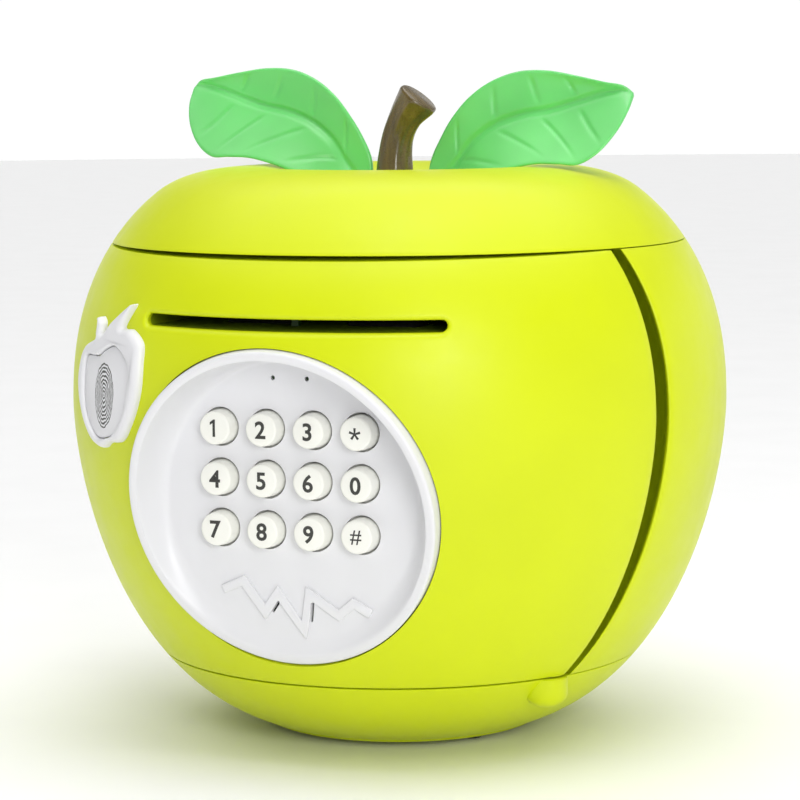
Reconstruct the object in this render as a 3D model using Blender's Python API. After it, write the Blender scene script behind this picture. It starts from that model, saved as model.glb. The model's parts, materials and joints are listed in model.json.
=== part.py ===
"""Keypad savings bank in the shape of an apple, built as an assembly of separate pieces.

Run it with blender --background --python part.py, or from Blender's text editor.
Sizes are in millimetres and degrees, and MM turns them into Blender's metres.
The bank stands on Z = 0 round the Z axis. Its front faces -Y, and +X is on the viewer's right.
"""

import math

import bmesh
import bpy
from mathutils import Matrix, Vector

MM = 0.001

# Body: an apple turned about the Z axis, cut into a base, a rear shell, a door and a cap.
BODY_WIDTH = 190.0
BODY_HEIGHT = 163.0
WALL = 2.4
CLEARANCE = 0.3
UNDERSIDE_Z = 1.2
BASE_SEAM_Z = 23.4
CAP_DEPTH = 21.15
DOOR_PLANE_Y = -33.5
DOOR_SIDE_GAP = 0.8
DOOR_BOTTOM_GAP = 0.5
DOOR_TOP_GAP_BACK = 0.4
DOOR_TOP_GAP_FRONT = 1.5

# Outline: two superellipse quarters that meet at the widest height.
EQUATOR_Z = 0.588 * BODY_HEIGHT
UPPER_REACH = 0.4698 * BODY_HEIGHT
UPPER_FALL, UPPER_ROUND = 2.2, 2.882
LOWER_REACH = EQUATOR_Z + 1.97
LOWER_FALL, LOWER_ROUND = 1.686, 3.083
CREST_RADIUS = 43.0
SHOULDER_DROP = 7.0
DIMPLE_DEPTH = 13.0

# Hinge: a vertical axis in the door's lower and upper right corners.
HINGE_INSET = 4.9
LOBE_RADIUS = 5.0
LOBE_LENGTH = 6.1
PIN_RADIUS = 2.0
BOSS_RADIUS = 6.0
BOSS_LENGTH = 8.9
COVE_GAP = 1.2
COVE_WALL = 2.0
COVE_SIDE_GAP = 0.8
LIP_SHARE, LIP_OFFSET = 0.235, 1.3

# Keypad dish: a round plate in a tilted rim, with a flat floor that leans back below a crease.
DISH_RADIUS = 44.6
DISH_Z = 73.8
DISH_TILT = 13.0
DISH_RIM_SINK = 7.4
DISH_DEPTH = 8.5
RIM_WIDTH = 2.6
DISH_WALL_RUN = 6.0
PLATE_WALL = 2.2
SKIRT_DEPTH = 9.5
CREASE_BELOW_KEYS = 2.32
LOWER_FLOOR_LEAN = 4.3

# Keys, which slide along Y against a rubber mat.
KEY_PITCH = 13.78
KEY_RADIUS = 4.9
KEY_PROUD = 4.4
KEY_FIT = 0.35
KEY_FLANGE = 1.3
KEY_STEM = 1.3
KEY_TRAVEL = 1.0
KEYPAD_ABOVE_DISH = 7.3
KEY_NAMES = (("1", "2", "3", "star"), ("4", "5", "6", "0"), ("7", "8", "9", "hash"))
SPEAKER_RADIUS = 12.0
LAMP_X, LAMP_ABOVE_DISH, LAMP_RADIUS = 5.0, 34.8, 0.65

# Zigzag ribbon under the keys: (x, z) corners on the lower floor, with z from the crease.
RIBBON_CORNERS = (
    (-25.6, -5.7), (-18.9, -2.8), (-12.7, -11.0), (-8.5, -5.8), (-1.1, -15.2),
    (0.9, -5.6), (9.9, -10.6), (14.5, -7.1), (19.6, -9.6),
)
RIBBON_WIDTH = 3.2
RIBBON_PROUD = 0.8
SOUND_SLITS = (((-9.9, -10.9), (-7.7, -7.7)), ((1.7, -12.6), (2.5, -7.6)))
SLIT_WIDTH = 1.2

# Note slot and the feeder behind it.
SLOT_X, SLOT_LENGTH, SLOT_HEIGHT = 3.0, 86.0, 2.8
SLOT_BELOW_SEAM = 17.95
CHANNEL_HEIGHT = 3.6
DUCT_WALL = 1.8
ROLLER_BEHIND = 24.5
DRUM_RADIUS, IDLER_RADIUS, SHAFT_RADIUS = 7.0, 5.0, 1.5
DRUM_START, DRUM_END = 8.0, 28.0
NIP_GAP = 1.0
GEAR_TEETH, PINION_TEETH, GEAR_MODULE = 20, 10, 1.0
GEAR_WIDTH, GEAR_BACKLASH = 4.0, 0.2
MOTOR_RADIUS, MOTOR_LENGTH, MOTOR_FLAT = 10.0, 25.0, 7.5

# Fingerprint badge, turned to the left of the front.
BADGE_AZIMUTH = -31.5
BADGE_BELOW_SEAM = 37.95
BADGE_PROUD = 2.6
PAD_RECESS = 1.1
PAD_FIT = 0.25
PAD_FLANGE, PAD_FLANGE_BACK, PAD_FLANGE_FRONT = 1.2, -7.5, -6.3
COLLAR_GROW = 1.8
BADGE_OUTLINE = (
    (-7.3, 20.3), (-4.8, 18.9), (-3.6, 15.6), (0.2, 19.8), (8.2, 24.8), (5.6, 18.4), (9.7, 17.8),
    (14.2, 14.5), (14.9, 9.2), (14.9, 2.5), (13.3, -3.6), (10.7, -8.7), (7.4, -12.6), (2.3, -13.6),
    (-0.5, -15.2), (-3.5, -15.3), (-7.5, -13.6), (-11.6, -8.8), (-14.6, -3.1), (-15.9, 2.8),
    (-14.9, 8.9), (-12.6, 12.2), (-9.1, 13.7), (-6.8, 14.8), (-6.9, 17.5),
)
PAD_OUTLINE = (
    (-11.1, 8.1), (-9.6, 9.6), (-4.0, 9.8), (-1.0, 11.4), (3.1, 13.0), (6.6, 12.1), (10.2, 9.0),
    (11.2, 5.2), (9.7, -3.9), (6.0, -9.6), (1.6, -12.0), (-4.5, -12.1), (-10.1, -5.7), (-11.4, 1.7),
)

# Door lock, at the door's free side.
LOCK_Z = 94.0
LOCK_HEIGHT = 20.0
LOCK_LENGTH = 32.0
BOLT_SIZE = 6.0
BOLT_THROW = 5.0
BOLT_END_GAP = 2.3
STRIKE_DEPTH, STRIKE_HEIGHT = 7.3, 16.0

# Base: three cells in a box, a cover in the underside, feet and screws.
CELL_RADIUS, CELL_LENGTH = 7.25, 50.5
CELL_GAP = 0.3
BOX_WALL = 2.0
COVER_THICKNESS = 2.0
COVER_LIP = 1.0
COVER_TAB = 4.0
FOOT_RADIUS, FOOT_X, FOOT_Y, FOOT_SUNK = 3.0, 28.4, 17.0, 1.0
FLOOR_THICKNESS = 2.0
SCREW_RADIUS, SCREW_HEAD_RADIUS, SCREW_HEAD = 1.5, 3.0, 1.5
BASE_SCREW_RADIUS = 58.0
BASE_SCREW_ANGLES = (180.0, 125.0, -125.0)
CAP_SCREW_ANGLES = (130.0, -130.0)
CAP_SCREW_INSET = 11.0
BASE_POST_RADIUS = 5.2
SCREW_BOSS_RADIUS = 4.2
COIN_LENGTH, COIN_HEIGHT, COIN_Y = 28.0, 3.2, 57.0

# Stem and leaves.
STEM_PATH = ((-1.1, 152.5), (-1.1, 160.5), (-0.7, 167.0), (0.4, 172.3), (3.0, 177.6), (7.0, 182.6))
STEM_RADII = (5.6, 5.3, 4.7, 4.5, 4.9, 6.3)
STEM_PEG_RADIUS = 3.5
LEAF_BASE, LEAF_TIP = Vector((8.6, 1.0, 156.0)), Vector((71.6, 6.0, 183.6))
LEAF_ARCH, LEAF_UPPER, LEAF_LOWER = 5.6, 13.4, 17.0
LEAF_LEAN, LEAF_CUP, LEAF_THICKNESS = 0.34, 5.0, 1.8
LEAF_PEG_RADIUS, LEAF_ABOVE_CAP = 2.0, 1.5
LEFT_LEAF_LIFT = 2.4

# Colours (linear red, green, blue), roughness and metallic value.
FINISHES = {
    "lime": ((0.58, 0.78, 0.02), 0.35, 0.0),
    "white": ((0.80, 0.80, 0.83), 0.35, 0.0),
    "cream": ((0.84, 0.84, 0.79), 0.35, 0.0),
    "leaf": ((0.10, 0.62, 0.16), 0.3, 0.0),
    "bark": ((0.10, 0.07, 0.03), 0.3, 0.0),
    "dark": ((0.03, 0.04, 0.02), 0.5, 0.0),
    "board": ((0.02, 0.20, 0.07), 0.5, 0.0),
    "rubber": ((0.08, 0.08, 0.08), 0.8, 0.0),
    "steel": ((0.55, 0.55, 0.56), 0.3, 1.0),
    "cell": ((0.10, 0.12, 0.16), 0.35, 0.3),
}


# ---- Places worked out from the driving dimensions ----


def outline_radius(z):
    """The apple's outer radius at height z."""
    if z >= EQUATOR_Z:
        fall = ((z - EQUATOR_Z) / UPPER_REACH) ** UPPER_FALL
        return BODY_WIDTH / 2 * (1 - fall) ** (1 / UPPER_ROUND)
    fall = ((EQUATOR_Z - z) / LOWER_REACH) ** LOWER_FALL
    return BODY_WIDTH / 2 * (1 - fall) ** (1 / LOWER_ROUND)


def inner_radius(z, depth=WALL):
    """The radius of the surface that lies depth inside the outline, measured square to it."""
    slope = (outline_radius(z + 0.1) - outline_radius(z - 0.1)) / 0.2
    return outline_radius(z) - depth * math.hypot(1, slope)


TOP_SEAM_Z = BODY_HEIGHT - CAP_DEPTH
SHELL_TOP_Z = TOP_SEAM_Z - CLEARANCE
DOOR_BOTTOM_Z = BASE_SEAM_Z + DOOR_BOTTOM_GAP
DOOR_TOP_Z = TOP_SEAM_Z - DOOR_TOP_GAP_BACK
HINGE_X = math.sqrt(outline_radius(BASE_SEAM_Z) ** 2 - DOOR_PLANE_Y**2) - HINGE_INSET
HINGE_DISTANCE = math.hypot(HINGE_X, DOOR_PLANE_Y)
SLOT_Z = TOP_SEAM_Z - SLOT_BELOW_SEAM
BADGE_Z = TOP_SEAM_Z - BADGE_BELOW_SEAM
DISH_RIM_Y = DISH_RIM_SINK - outline_radius(DISH_Z)
DISH_FLOOR_Y = DISH_RIM_Y + DISH_DEPTH
KEYPAD_Z = DISH_Z + KEYPAD_ABOVE_DISH
LAMP_Z = DISH_Z + LAMP_ABOVE_DISH
CREASE_Z = KEYPAD_Z - KEY_PITCH - KEY_RADIUS - KEY_FLANGE - CREASE_BELOW_KEYS
PLATE_BACK_Y = DISH_FLOOR_Y + PLATE_WALL
FLANGE_Y = PLATE_BACK_Y + CLEARANCE
MAT_Y = FLANGE_Y + KEY_STEM + KEY_TRAVEL + CLEARANCE
BOARD_Y = MAT_Y + 1.3
ROLLER_Y = DOOR_PLANE_Y - ROLLER_BEHIND
DRUM_Z = SLOT_Z - NIP_GAP / 2 - DRUM_RADIUS + 0.2
IDLER_Z = DRUM_Z + DRUM_RADIUS + NIP_GAP + IDLER_RADIUS
PINION_Z = DRUM_Z - GEAR_MODULE * (GEAR_TEETH + PINION_TEETH) / 2 - GEAR_BACKLASH
DUCT_HALF = SLOT_LENGTH / 2 + 0.6 + DUCT_WALL
EAR_X = SLOT_X + DUCT_HALF
EAR_WALL = 2.4
FLOOR_TOP_Z = BASE_SEAM_Z
FLOOR_RADIUS = inner_radius(BASE_SEAM_Z - FLOOR_THICKNESS, 1.8) - CLEARANCE
DECK_TOP_Z = TOP_SEAM_Z + 2.0
BOX_HALF_X = 1.5 * (2 * CELL_RADIUS + CELL_GAP) + BOX_WALL
BOX_HALF_Y = CELL_LENGTH / 2 + 1.75 + BOX_WALL
BOX_BOTTOM_Z = UNDERSIDE_Z + WALL + CLEARANCE
CELL_Z = BOX_BOTTOM_Z + CELL_RADIUS
BOX_TOP_Z = CELL_Z + CELL_RADIUS + CLEARANCE + BOX_WALL
COVER_SCREW_Y = BOX_HALF_Y + 2.4
STRIKE_FRONT_Y = DOOR_PLANE_Y + 2.5
STRIKE_X = -math.sqrt(inner_radius(LOCK_Z - STRIKE_HEIGHT / 2) ** 2 - STRIKE_FRONT_Y**2) + 0.5
LOCK_X = STRIKE_X + STRIKE_DEPTH + 2.5
BOLT_Y = DOOR_PLANE_Y + 8.5
FRONT = Matrix(((1, 0, 0, 0), (0, 0, -1, 0), (0, 1, 0, 0), (0, 0, 0, 1)))


def polar(radius, azimuth, z=0.0):
    """A point at a radius and an azimuth, which runs from -Y towards +X."""
    angle = math.radians(azimuth)
    return Vector((radius * math.sin(angle), -radius * math.cos(angle), z))


# ---- Modelling tools ----


def clear_scene():
    for old in list(bpy.data.objects):
        bpy.data.objects.remove(old, do_unlink=True)


def finish_material(name):
    if name in bpy.data.materials:
        return bpy.data.materials[name]
    colour, roughness, metallic = FINISHES[name]
    material = bpy.data.materials.new(name)
    material.use_nodes = True
    shader = material.node_tree.nodes["Principled BSDF"]
    shader.inputs["Base Color"].default_value = (*colour, 1)
    shader.inputs["Roughness"].default_value = roughness
    shader.inputs["Metallic"].default_value = metallic
    material.diffuse_color = (*colour, 1)
    return material


def solid_from(shape):
    """Turns a closed bmesh, in millimetres, into an object in metres and frees the bmesh."""
    bmesh.ops.remove_doubles(shape, verts=shape.verts, dist=1e-4)
    bmesh.ops.recalc_face_normals(shape, faces=shape.faces)
    bmesh.ops.scale(shape, vec=(MM, MM, MM), verts=shape.verts)
    mesh = bpy.data.meshes.new("solid")
    shape.to_mesh(mesh)
    shape.free()
    solid = bpy.data.objects.new("solid", mesh)
    bpy.context.scene.collection.objects.link(solid)
    return solid


def box(low, high):
    low, high = Vector(low), Vector(high)
    shape = bmesh.new()
    place = Matrix.Translation((low + high) / 2) @ Matrix.Diagonal((*(high - low), 1))
    bmesh.ops.create_cube(shape, size=1, matrix=place)
    return solid_from(shape)


def rod(start, end, radius, segments=16, end_radius=None):
    """A cylinder, or a cone, from one point to another."""
    start, end = Vector(start), Vector(end)
    along = end - start
    place = Matrix.Translation((start + end) / 2) @ along.to_track_quat("Z", "Y").to_matrix().to_4x4()
    shape = bmesh.new()
    bmesh.ops.create_cone(
        shape,
        cap_ends=True,
        segments=segments,
        radius1=radius,
        radius2=radius if end_radius is None else end_radius,
        depth=along.length,
        matrix=place,
    )
    return solid_from(shape)


def turned(profile, segments, place=None):
    """Spins a closed (radius, height) profile about Z, then places it."""
    shape = bmesh.new()
    corners = [shape.verts.new((radius, 0, height)) for radius, height in profile]
    edges = [shape.edges.new(pair) for pair in zip(corners, corners[1:] + corners[:1])]
    on_axis = [e for e in edges if all(abs(v.co.x) < 1e-6 for v in e.verts)]
    bmesh.ops.delete(shape, geom=on_axis, context="EDGES")
    bmesh.ops.spin(
        shape,
        geom=shape.verts[:] + shape.edges[:],
        cent=(0, 0, 0),
        axis=(0, 0, 1),
        angle=math.tau,
        steps=segments,
        use_merge=True,
    )
    if place is not None:
        bmesh.ops.transform(shape, matrix=place, verts=shape.verts)
    return solid_from(shape)


def prism(outline, low, high, place=None):
    """Extrudes a flat outline from height low to height high, then places it."""
    shape = bmesh.new()
    face = shape.faces.new([shape.verts.new((x, y, low)) for x, y in outline])
    grown = bmesh.ops.extrude_face_region(shape, geom=[face])["geom"]
    top = [v for v in grown if isinstance(v, bmesh.types.BMVert)]
    bmesh.ops.translate(shape, vec=(0, 0, high - low), verts=top)
    if place is not None:
        bmesh.ops.transform(shape, matrix=place, verts=shape.verts)
    return solid_from(shape)


def loft(loops):
    """A solid through loops that all have the same number of points, closed by its end faces."""
    shape = bmesh.new()
    rings = [[shape.verts.new(p) for p in loop] for loop in loops]
    for lower, upper in zip(rings, rings[1:]):
        for i, corner in enumerate(lower):
            shape.faces.new((lower[i - 1], corner, upper[i], upper[i - 1]))
    shape.faces.new(reversed(rings[0]))
    shape.faces.new(rings[-1])
    return solid_from(shape)


def combine(target, others, operation):
    for other in others:
        modifier = target.modifiers.new(operation.title(), "BOOLEAN")
        modifier.operation = operation
        modifier.solver = "EXACT"
        modifier.object = other
        graph = bpy.context.evaluated_depsgraph_get()
        mesh = bpy.data.meshes.new_from_object(target.evaluated_get(graph))
        target.modifiers.clear()
        target.data = mesh
        bpy.data.objects.remove(other, do_unlink=True)
    return target


def cut(target, *cutters):
    return combine(target, cutters, "DIFFERENCE")


def fuse(target, *others):
    return combine(target, others, "UNION")


def keep_inside(target, *others):
    return combine(target, others, "INTERSECT")


def name_piece(solid, name, finish, pivot=None):
    """Names a finished solid, gives it its material and hangs it on its joint's empty."""
    solid.name = name
    solid.data.name = name
    solid.data.materials.clear()
    solid.data.materials.append(finish_material(finish))
    solid.data.shade_smooth()
    solid.data.set_sharp_from_angle(angle=math.radians(35))
    if pivot is not None:
        solid.parent = pivot
        solid.matrix_parent_inverse = pivot.matrix_world.inverted()
    return solid


def make_pivot(name, place, parent=None):
    """An empty on a joint's axis, which carries the pieces that the joint moves."""
    pivot = bpy.data.objects.new(name, None)
    bpy.context.scene.collection.objects.link(pivot)
    pivot.empty_display_size = 10 * MM
    pivot.location = Vector(place) * MM
    bpy.context.view_layer.update()
    if parent is not None:
        pivot.parent = parent
        pivot.matrix_parent_inverse = parent.matrix_world.inverted()
        bpy.context.view_layer.update()
    return pivot


def steps(start, end, count):
    """Evenly spaced values from start to end, both included."""
    return [start + (end - start) * i / count for i in range(count + 1)]


def smooth_loop(corners, per_corner=2):
    """A closed smooth curve through the corners."""
    points = []
    count = len(corners)
    for i in range(count):
        a, b, c, d = (Vector(corners[(i + k) % count]) for k in (-1, 0, 1, 2))
        for share in steps(0, 1, per_corner)[:-1]:
            bend = 2 * a - 5 * b + 4 * c - d
            twist = 3 * b - a - 3 * c + d
            points.append(b + 0.5 * share * (c - a + share * (bend + share * twist)))
    return points


def grow_loop(points, distance):
    """A closed outline moved outwards by a distance, at each point square to its neighbours' chord."""
    turn = sum(a.x * b.y - b.x * a.y for a, b in zip(points, points[1:] + points[:1]))
    side = 1 if turn > 0 else -1
    grown = []
    for i, point in enumerate(points):
        along = (points[(i + 1) % len(points)] - points[i - 1]).normalized()
        grown.append(point + distance * side * Vector((along.y, -along.x)))
    return grown


def slot_outline(centre, length, height, arc_steps=4):
    """A long hole's outline with round ends."""
    reach = length / 2 - height / 2
    points = []
    for side, start in ((1, -90), (-1, 90)):
        for angle in steps(start, start + 180, arc_steps):
            a = math.radians(angle)
            x = centre[0] + side * reach + height / 2 * math.cos(a)
            points.append((x, centre[1] + height / 2 * math.sin(a)))
    return points


def gear_outline(teeth, module, phase):
    """Straight-flanked teeth round a circle, with phase turning one tooth towards +X."""
    points = []
    pitch_radius = teeth * module / 2
    levels = ((-0.36, -1.15), (-0.13, 0.9), (0.13, 0.9), (0.36, -1.15))
    for tooth in range(teeth):
        for share, height in levels:
            angle = math.tau * (tooth + share + phase) / teeth
            radius = pitch_radius + height * module
            points.append((radius * math.cos(angle), radius * math.sin(angle)))
    return points


def screw(start, end, name, pivot=None):
    """A screw with its head at start."""
    start, end = Vector(start), Vector(end)
    along = (end - start).normalized()
    head = rod(start, start + SCREW_HEAD * along, SCREW_HEAD_RADIUS, 12)
    shank = rod(start + 0.5 * SCREW_HEAD * along, end, SCREW_RADIUS, 10)
    name_piece(fuse(head, shank), name, "steel", pivot)


# ---- Body shells ----


def cap_curve():
    """The cap's outer profile, from the seam over the shoulder to the bottom of the dimple."""
    shoulder_z = BODY_HEIGHT - SHOULDER_DROP
    shoulder = Vector((outline_radius(shoulder_z), shoulder_z))
    slope = (outline_radius(shoulder_z + 0.1) - outline_radius(shoulder_z - 0.1)) / 0.2
    corner = shoulder + SHOULDER_DROP * Vector((slope, 1))
    crest = Vector((CREST_RADIUS, BODY_HEIGHT))
    curve = [Vector((outline_radius(z), z)) for z in steps(TOP_SEAM_Z, shoulder_z, 3)]
    for t in steps(0, 1, 4)[1:]:
        curve.append((1 - t) ** 2 * shoulder + 2 * t * (1 - t) * corner + t**2 * crest)
    for t in steps(1, 0, 5)[1:]:
        rise = math.sin(math.pi / 2 * t) ** 2
        curve.append(Vector((CREST_RADIUS * t, BODY_HEIGHT - DIMPLE_DEPTH * (1 - rise))))
    return curve


def offset_curve(curve, distance):
    """An open (radius, height) curve moved square to itself, towards its left-hand side."""
    moved = []
    for i, point in enumerate(curve):
        along = (curve[min(i + 1, len(curve) - 1)] - curve[max(i - 1, 0)]).normalized()
        moved.append(point + distance * Vector((-along.y, along.x)))
    return moved


def dimple_z(radius):
    return BODY_HEIGHT - DIMPLE_DEPTH * math.cos(math.pi / 2 * radius / CREST_RADIUS) ** 2


def make_cap():
    outer = cap_curve()
    inner = offset_curve(outer, WALL)
    inner[0] = Vector((inner_radius(TOP_SEAM_Z), TOP_SEAM_Z))
    inner[-1] = Vector((0, outer[-1].y - WALL))
    cap = turned([*outer, *reversed(inner)], 40)
    for angle in CAP_SCREW_ANGLES:
        post_radius = outline_radius(TOP_SEAM_Z) - CAP_SCREW_INSET
        foot = polar(post_radius, angle, DECK_TOP_Z + CLEARANCE)
        head = polar(post_radius, angle, cap_top_z(post_radius + 3.5) - WALL)
        fuse(cap, rod(foot, head, 3.5, 12))
        cut(cap, rod(foot - Vector((0, 0, 1)), foot + Vector((0, 0, 6)), SCREW_RADIUS + CLEARANCE, 10))
    coin_low = (-COIN_LENGTH / 2, COIN_Y - COIN_HEIGHT / 2, TOP_SEAM_Z + 8)
    coin_high = (COIN_LENGTH / 2, COIN_Y + COIN_HEIGHT / 2, BODY_HEIGHT + 1)
    cut(cap, box(coin_low, coin_high))
    stem_x = STEM_PATH[0][0]
    stem_hole = STEM_PEG_RADIUS + CLEARANCE
    bottom, top = dimple_z(0) - WALL - 2, dimple_z(0) + 4
    cut(cap, rod((stem_x, 0, bottom), (stem_x, 0, top), stem_hole, 16))
    for side in (1, -1):
        place = Vector((side * LEAF_BASE.x, LEAF_BASE.y, 0))
        hole = LEAF_PEG_RADIUS + CLEARANCE
        cut(cap, rod(place + Vector((0, 0, bottom)), place + Vector((0, 0, top)), hole, 12))
    name_piece(cap, "top_cap", "lime")


def make_deck():
    """The plate that closes the cap's underside, with the coin chute standing on it."""
    radius = inner_radius(DECK_TOP_Z) - CLEARANCE
    deck = rod((0, 0, TOP_SEAM_Z), (0, 0, DECK_TOP_Z), radius, 40)
    chute_x, chute_y = COIN_LENGTH / 2 + 1, COIN_HEIGHT / 2 + 1.4
    wall = 1.6
    chute_top = BODY_HEIGHT - 9.5
    outer_low = (-chute_x - wall, COIN_Y - chute_y - wall, TOP_SEAM_Z + 1)
    fuse(deck, box(outer_low, (chute_x + wall, COIN_Y + chute_y + wall, chute_top)))
    inner_low = (-chute_x, COIN_Y - chute_y, TOP_SEAM_Z - 1)
    cut(deck, box(inner_low, (chute_x, COIN_Y + chute_y, chute_top + 1)))
    cut(deck, rod((HINGE_X, DOOR_PLANE_Y, TOP_SEAM_Z - 1), (HINGE_X, DOOR_PLANE_Y, DECK_TOP_Z + 1), 2.3, 12))
    for angle in CAP_SCREW_ANGLES:
        place = polar(outline_radius(TOP_SEAM_Z) - CAP_SCREW_INSET, angle)
        low, high = Vector((0, 0, TOP_SEAM_Z - 1)), Vector((0, 0, DECK_TOP_Z + 1))
        cut(deck, rod(place + low, place + high, SCREW_RADIUS + CLEARANCE, 10))
    name_piece(deck, "cap_deck", "lime")


def door_edge_reach(z):
    """How far the door's skin reaches past the hinge axis, along the door's plane."""
    return math.sqrt(outline_radius(z) ** 2 - DOOR_PLANE_Y**2) - HINGE_X


def rear_section(z):
    """One level of the rear shell: outer skin, left edge, inner skin, cove wall and lip."""
    outer, inner = outline_radius(z), inner_radius(z)
    reach = door_edge_reach(z)
    cove, cove_back = reach + COVE_GAP, reach + COVE_GAP + COVE_WALL
    left_y = DOOR_PLANE_Y + DOOR_SIDE_GAP
    lip_y = DOOR_PLANE_Y + LIP_OFFSET + LIP_SHARE * reach
    hinge = Vector((HINGE_X, DOOR_PLANE_Y))

    def round_body(radius, degrees):
        angle = math.radians(degrees)
        return Vector((radius * math.cos(angle), radius * math.sin(angle)))

    def round_hinge(radius, degrees):
        return hinge + round_body(radius, degrees)

    nose = min(0.9, 0.25 * (outer - inner))
    lip_angle = math.degrees(math.asin((lip_y + nose) / outer))
    outer_end = 180 + math.degrees(math.asin(-left_y / outer))
    inner_end = 180 + math.degrees(math.asin(-left_y / inner))
    hinge_angle = math.degrees(math.atan2(DOOR_PLANE_Y, HINGE_X))
    lean = (inner**2 - HINGE_DISTANCE**2 - cove_back**2) / (2 * HINGE_DISTANCE * cove_back)
    back_start = hinge_angle + math.degrees(math.acos(lean))
    corner = round_hinge(cove_back, back_start)
    corner_angle = math.degrees(math.atan2(corner.y, corner.x))
    lip_outer = round_body(outer, lip_angle)
    lip_start = lip_outer - hinge
    cove_start = math.degrees(math.atan2(lip_start.y, lip_start.x)) + 1.5
    wall_x = HINGE_X - LOBE_RADIUS - COVE_SIDE_GAP
    cove_end = math.degrees(math.acos((wall_x - HINGE_X) / cove))
    back_end = math.degrees(math.acos((wall_x - COVE_WALL - HINGE_X) / cove_back))
    points = [round_body(outer, a) for a in steps(lip_angle, outer_end, 34)]
    points += [round_body(inner, a) for a in steps(inner_end, corner_angle, 30)]
    points += [round_hinge(cove_back, a) for a in steps(back_start, back_end, 7)[1:]]
    points += [Vector((wall_x - COVE_WALL, left_y)), Vector((wall_x, left_y))]
    points += [round_hinge(cove, a) for a in steps(cove_end, cove_start, 8)]
    middle = (lip_outer + points[-1]) / 2
    points.append(middle - Vector((0, nose)))
    return [(p.x, p.y, z) for p in points]


def ring_sector(inner, outer, low, high, start, end, count=20):
    """A flat ring between two azimuths, for the flanges inside the shells."""
    outline = [polar(outer, a).xy for a in steps(start, end, count)]
    outline += [polar(inner, a).xy for a in steps(end, start, count)]
    return prism(outline, low, high)


def make_rear_shell():
    levels = steps(BASE_SEAM_Z + CLEARANCE, SHELL_TOP_Z, 9)
    shell = loft([rear_section(z) for z in levels])
    low = BASE_SEAM_Z + CLEARANCE
    flange_outer = outline_radius(low) - WALL
    fuse(shell, ring_sector(BASE_SCREW_RADIUS - 6, flange_outer, low, low + 2.5, 100, 260))
    post_radius = outline_radius(TOP_SEAM_Z) - CAP_SCREW_INSET
    top_outer = outline_radius(SHELL_TOP_Z) - WALL / 2
    fuse(shell, ring_sector(post_radius - 5, top_outer, SHELL_TOP_Z - 2.5, SHELL_TOP_Z, 100, 260))
    for angle in BASE_SCREW_ANGLES:
        foot, head = polar(BASE_SCREW_RADIUS, angle, low), polar(BASE_SCREW_RADIUS, angle, low + 9)
        fuse(shell, rod(foot + Vector((0, 0, 1)), head, SCREW_BOSS_RADIUS, 12))
        cut(shell, rod(foot - Vector((0, 0, 1)), head - Vector((0, 0, 1.2)), SCREW_RADIUS + CLEARANCE, 10))
    for angle in CAP_SCREW_ANGLES:
        place = polar(post_radius, angle, SHELL_TOP_Z)
        cut(shell, rod(place - Vector((0, 0, 4)), place + Vector((0, 0, 1)), SCREW_RADIUS + CLEARANCE, 10))
    name_piece(shell, "rear_shell", "lime")


def cover_block(grow, low, high):
    """The battery cover's shape, a rectangle with a round screw tab, or its opening when grown."""
    x, y = BOX_HALF_X - COVER_LIP + grow, BOX_HALF_Y - 1.7 + grow
    block = box((-x, -y, low), (x, y, high))
    tab = COVER_TAB + grow
    fuse(block, box((-tab, 0, low), (tab, COVER_SCREW_Y, high)))
    return fuse(block, rod((0, COVER_SCREW_Y, low), (0, COVER_SCREW_Y, high), tab, 16))


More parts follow.
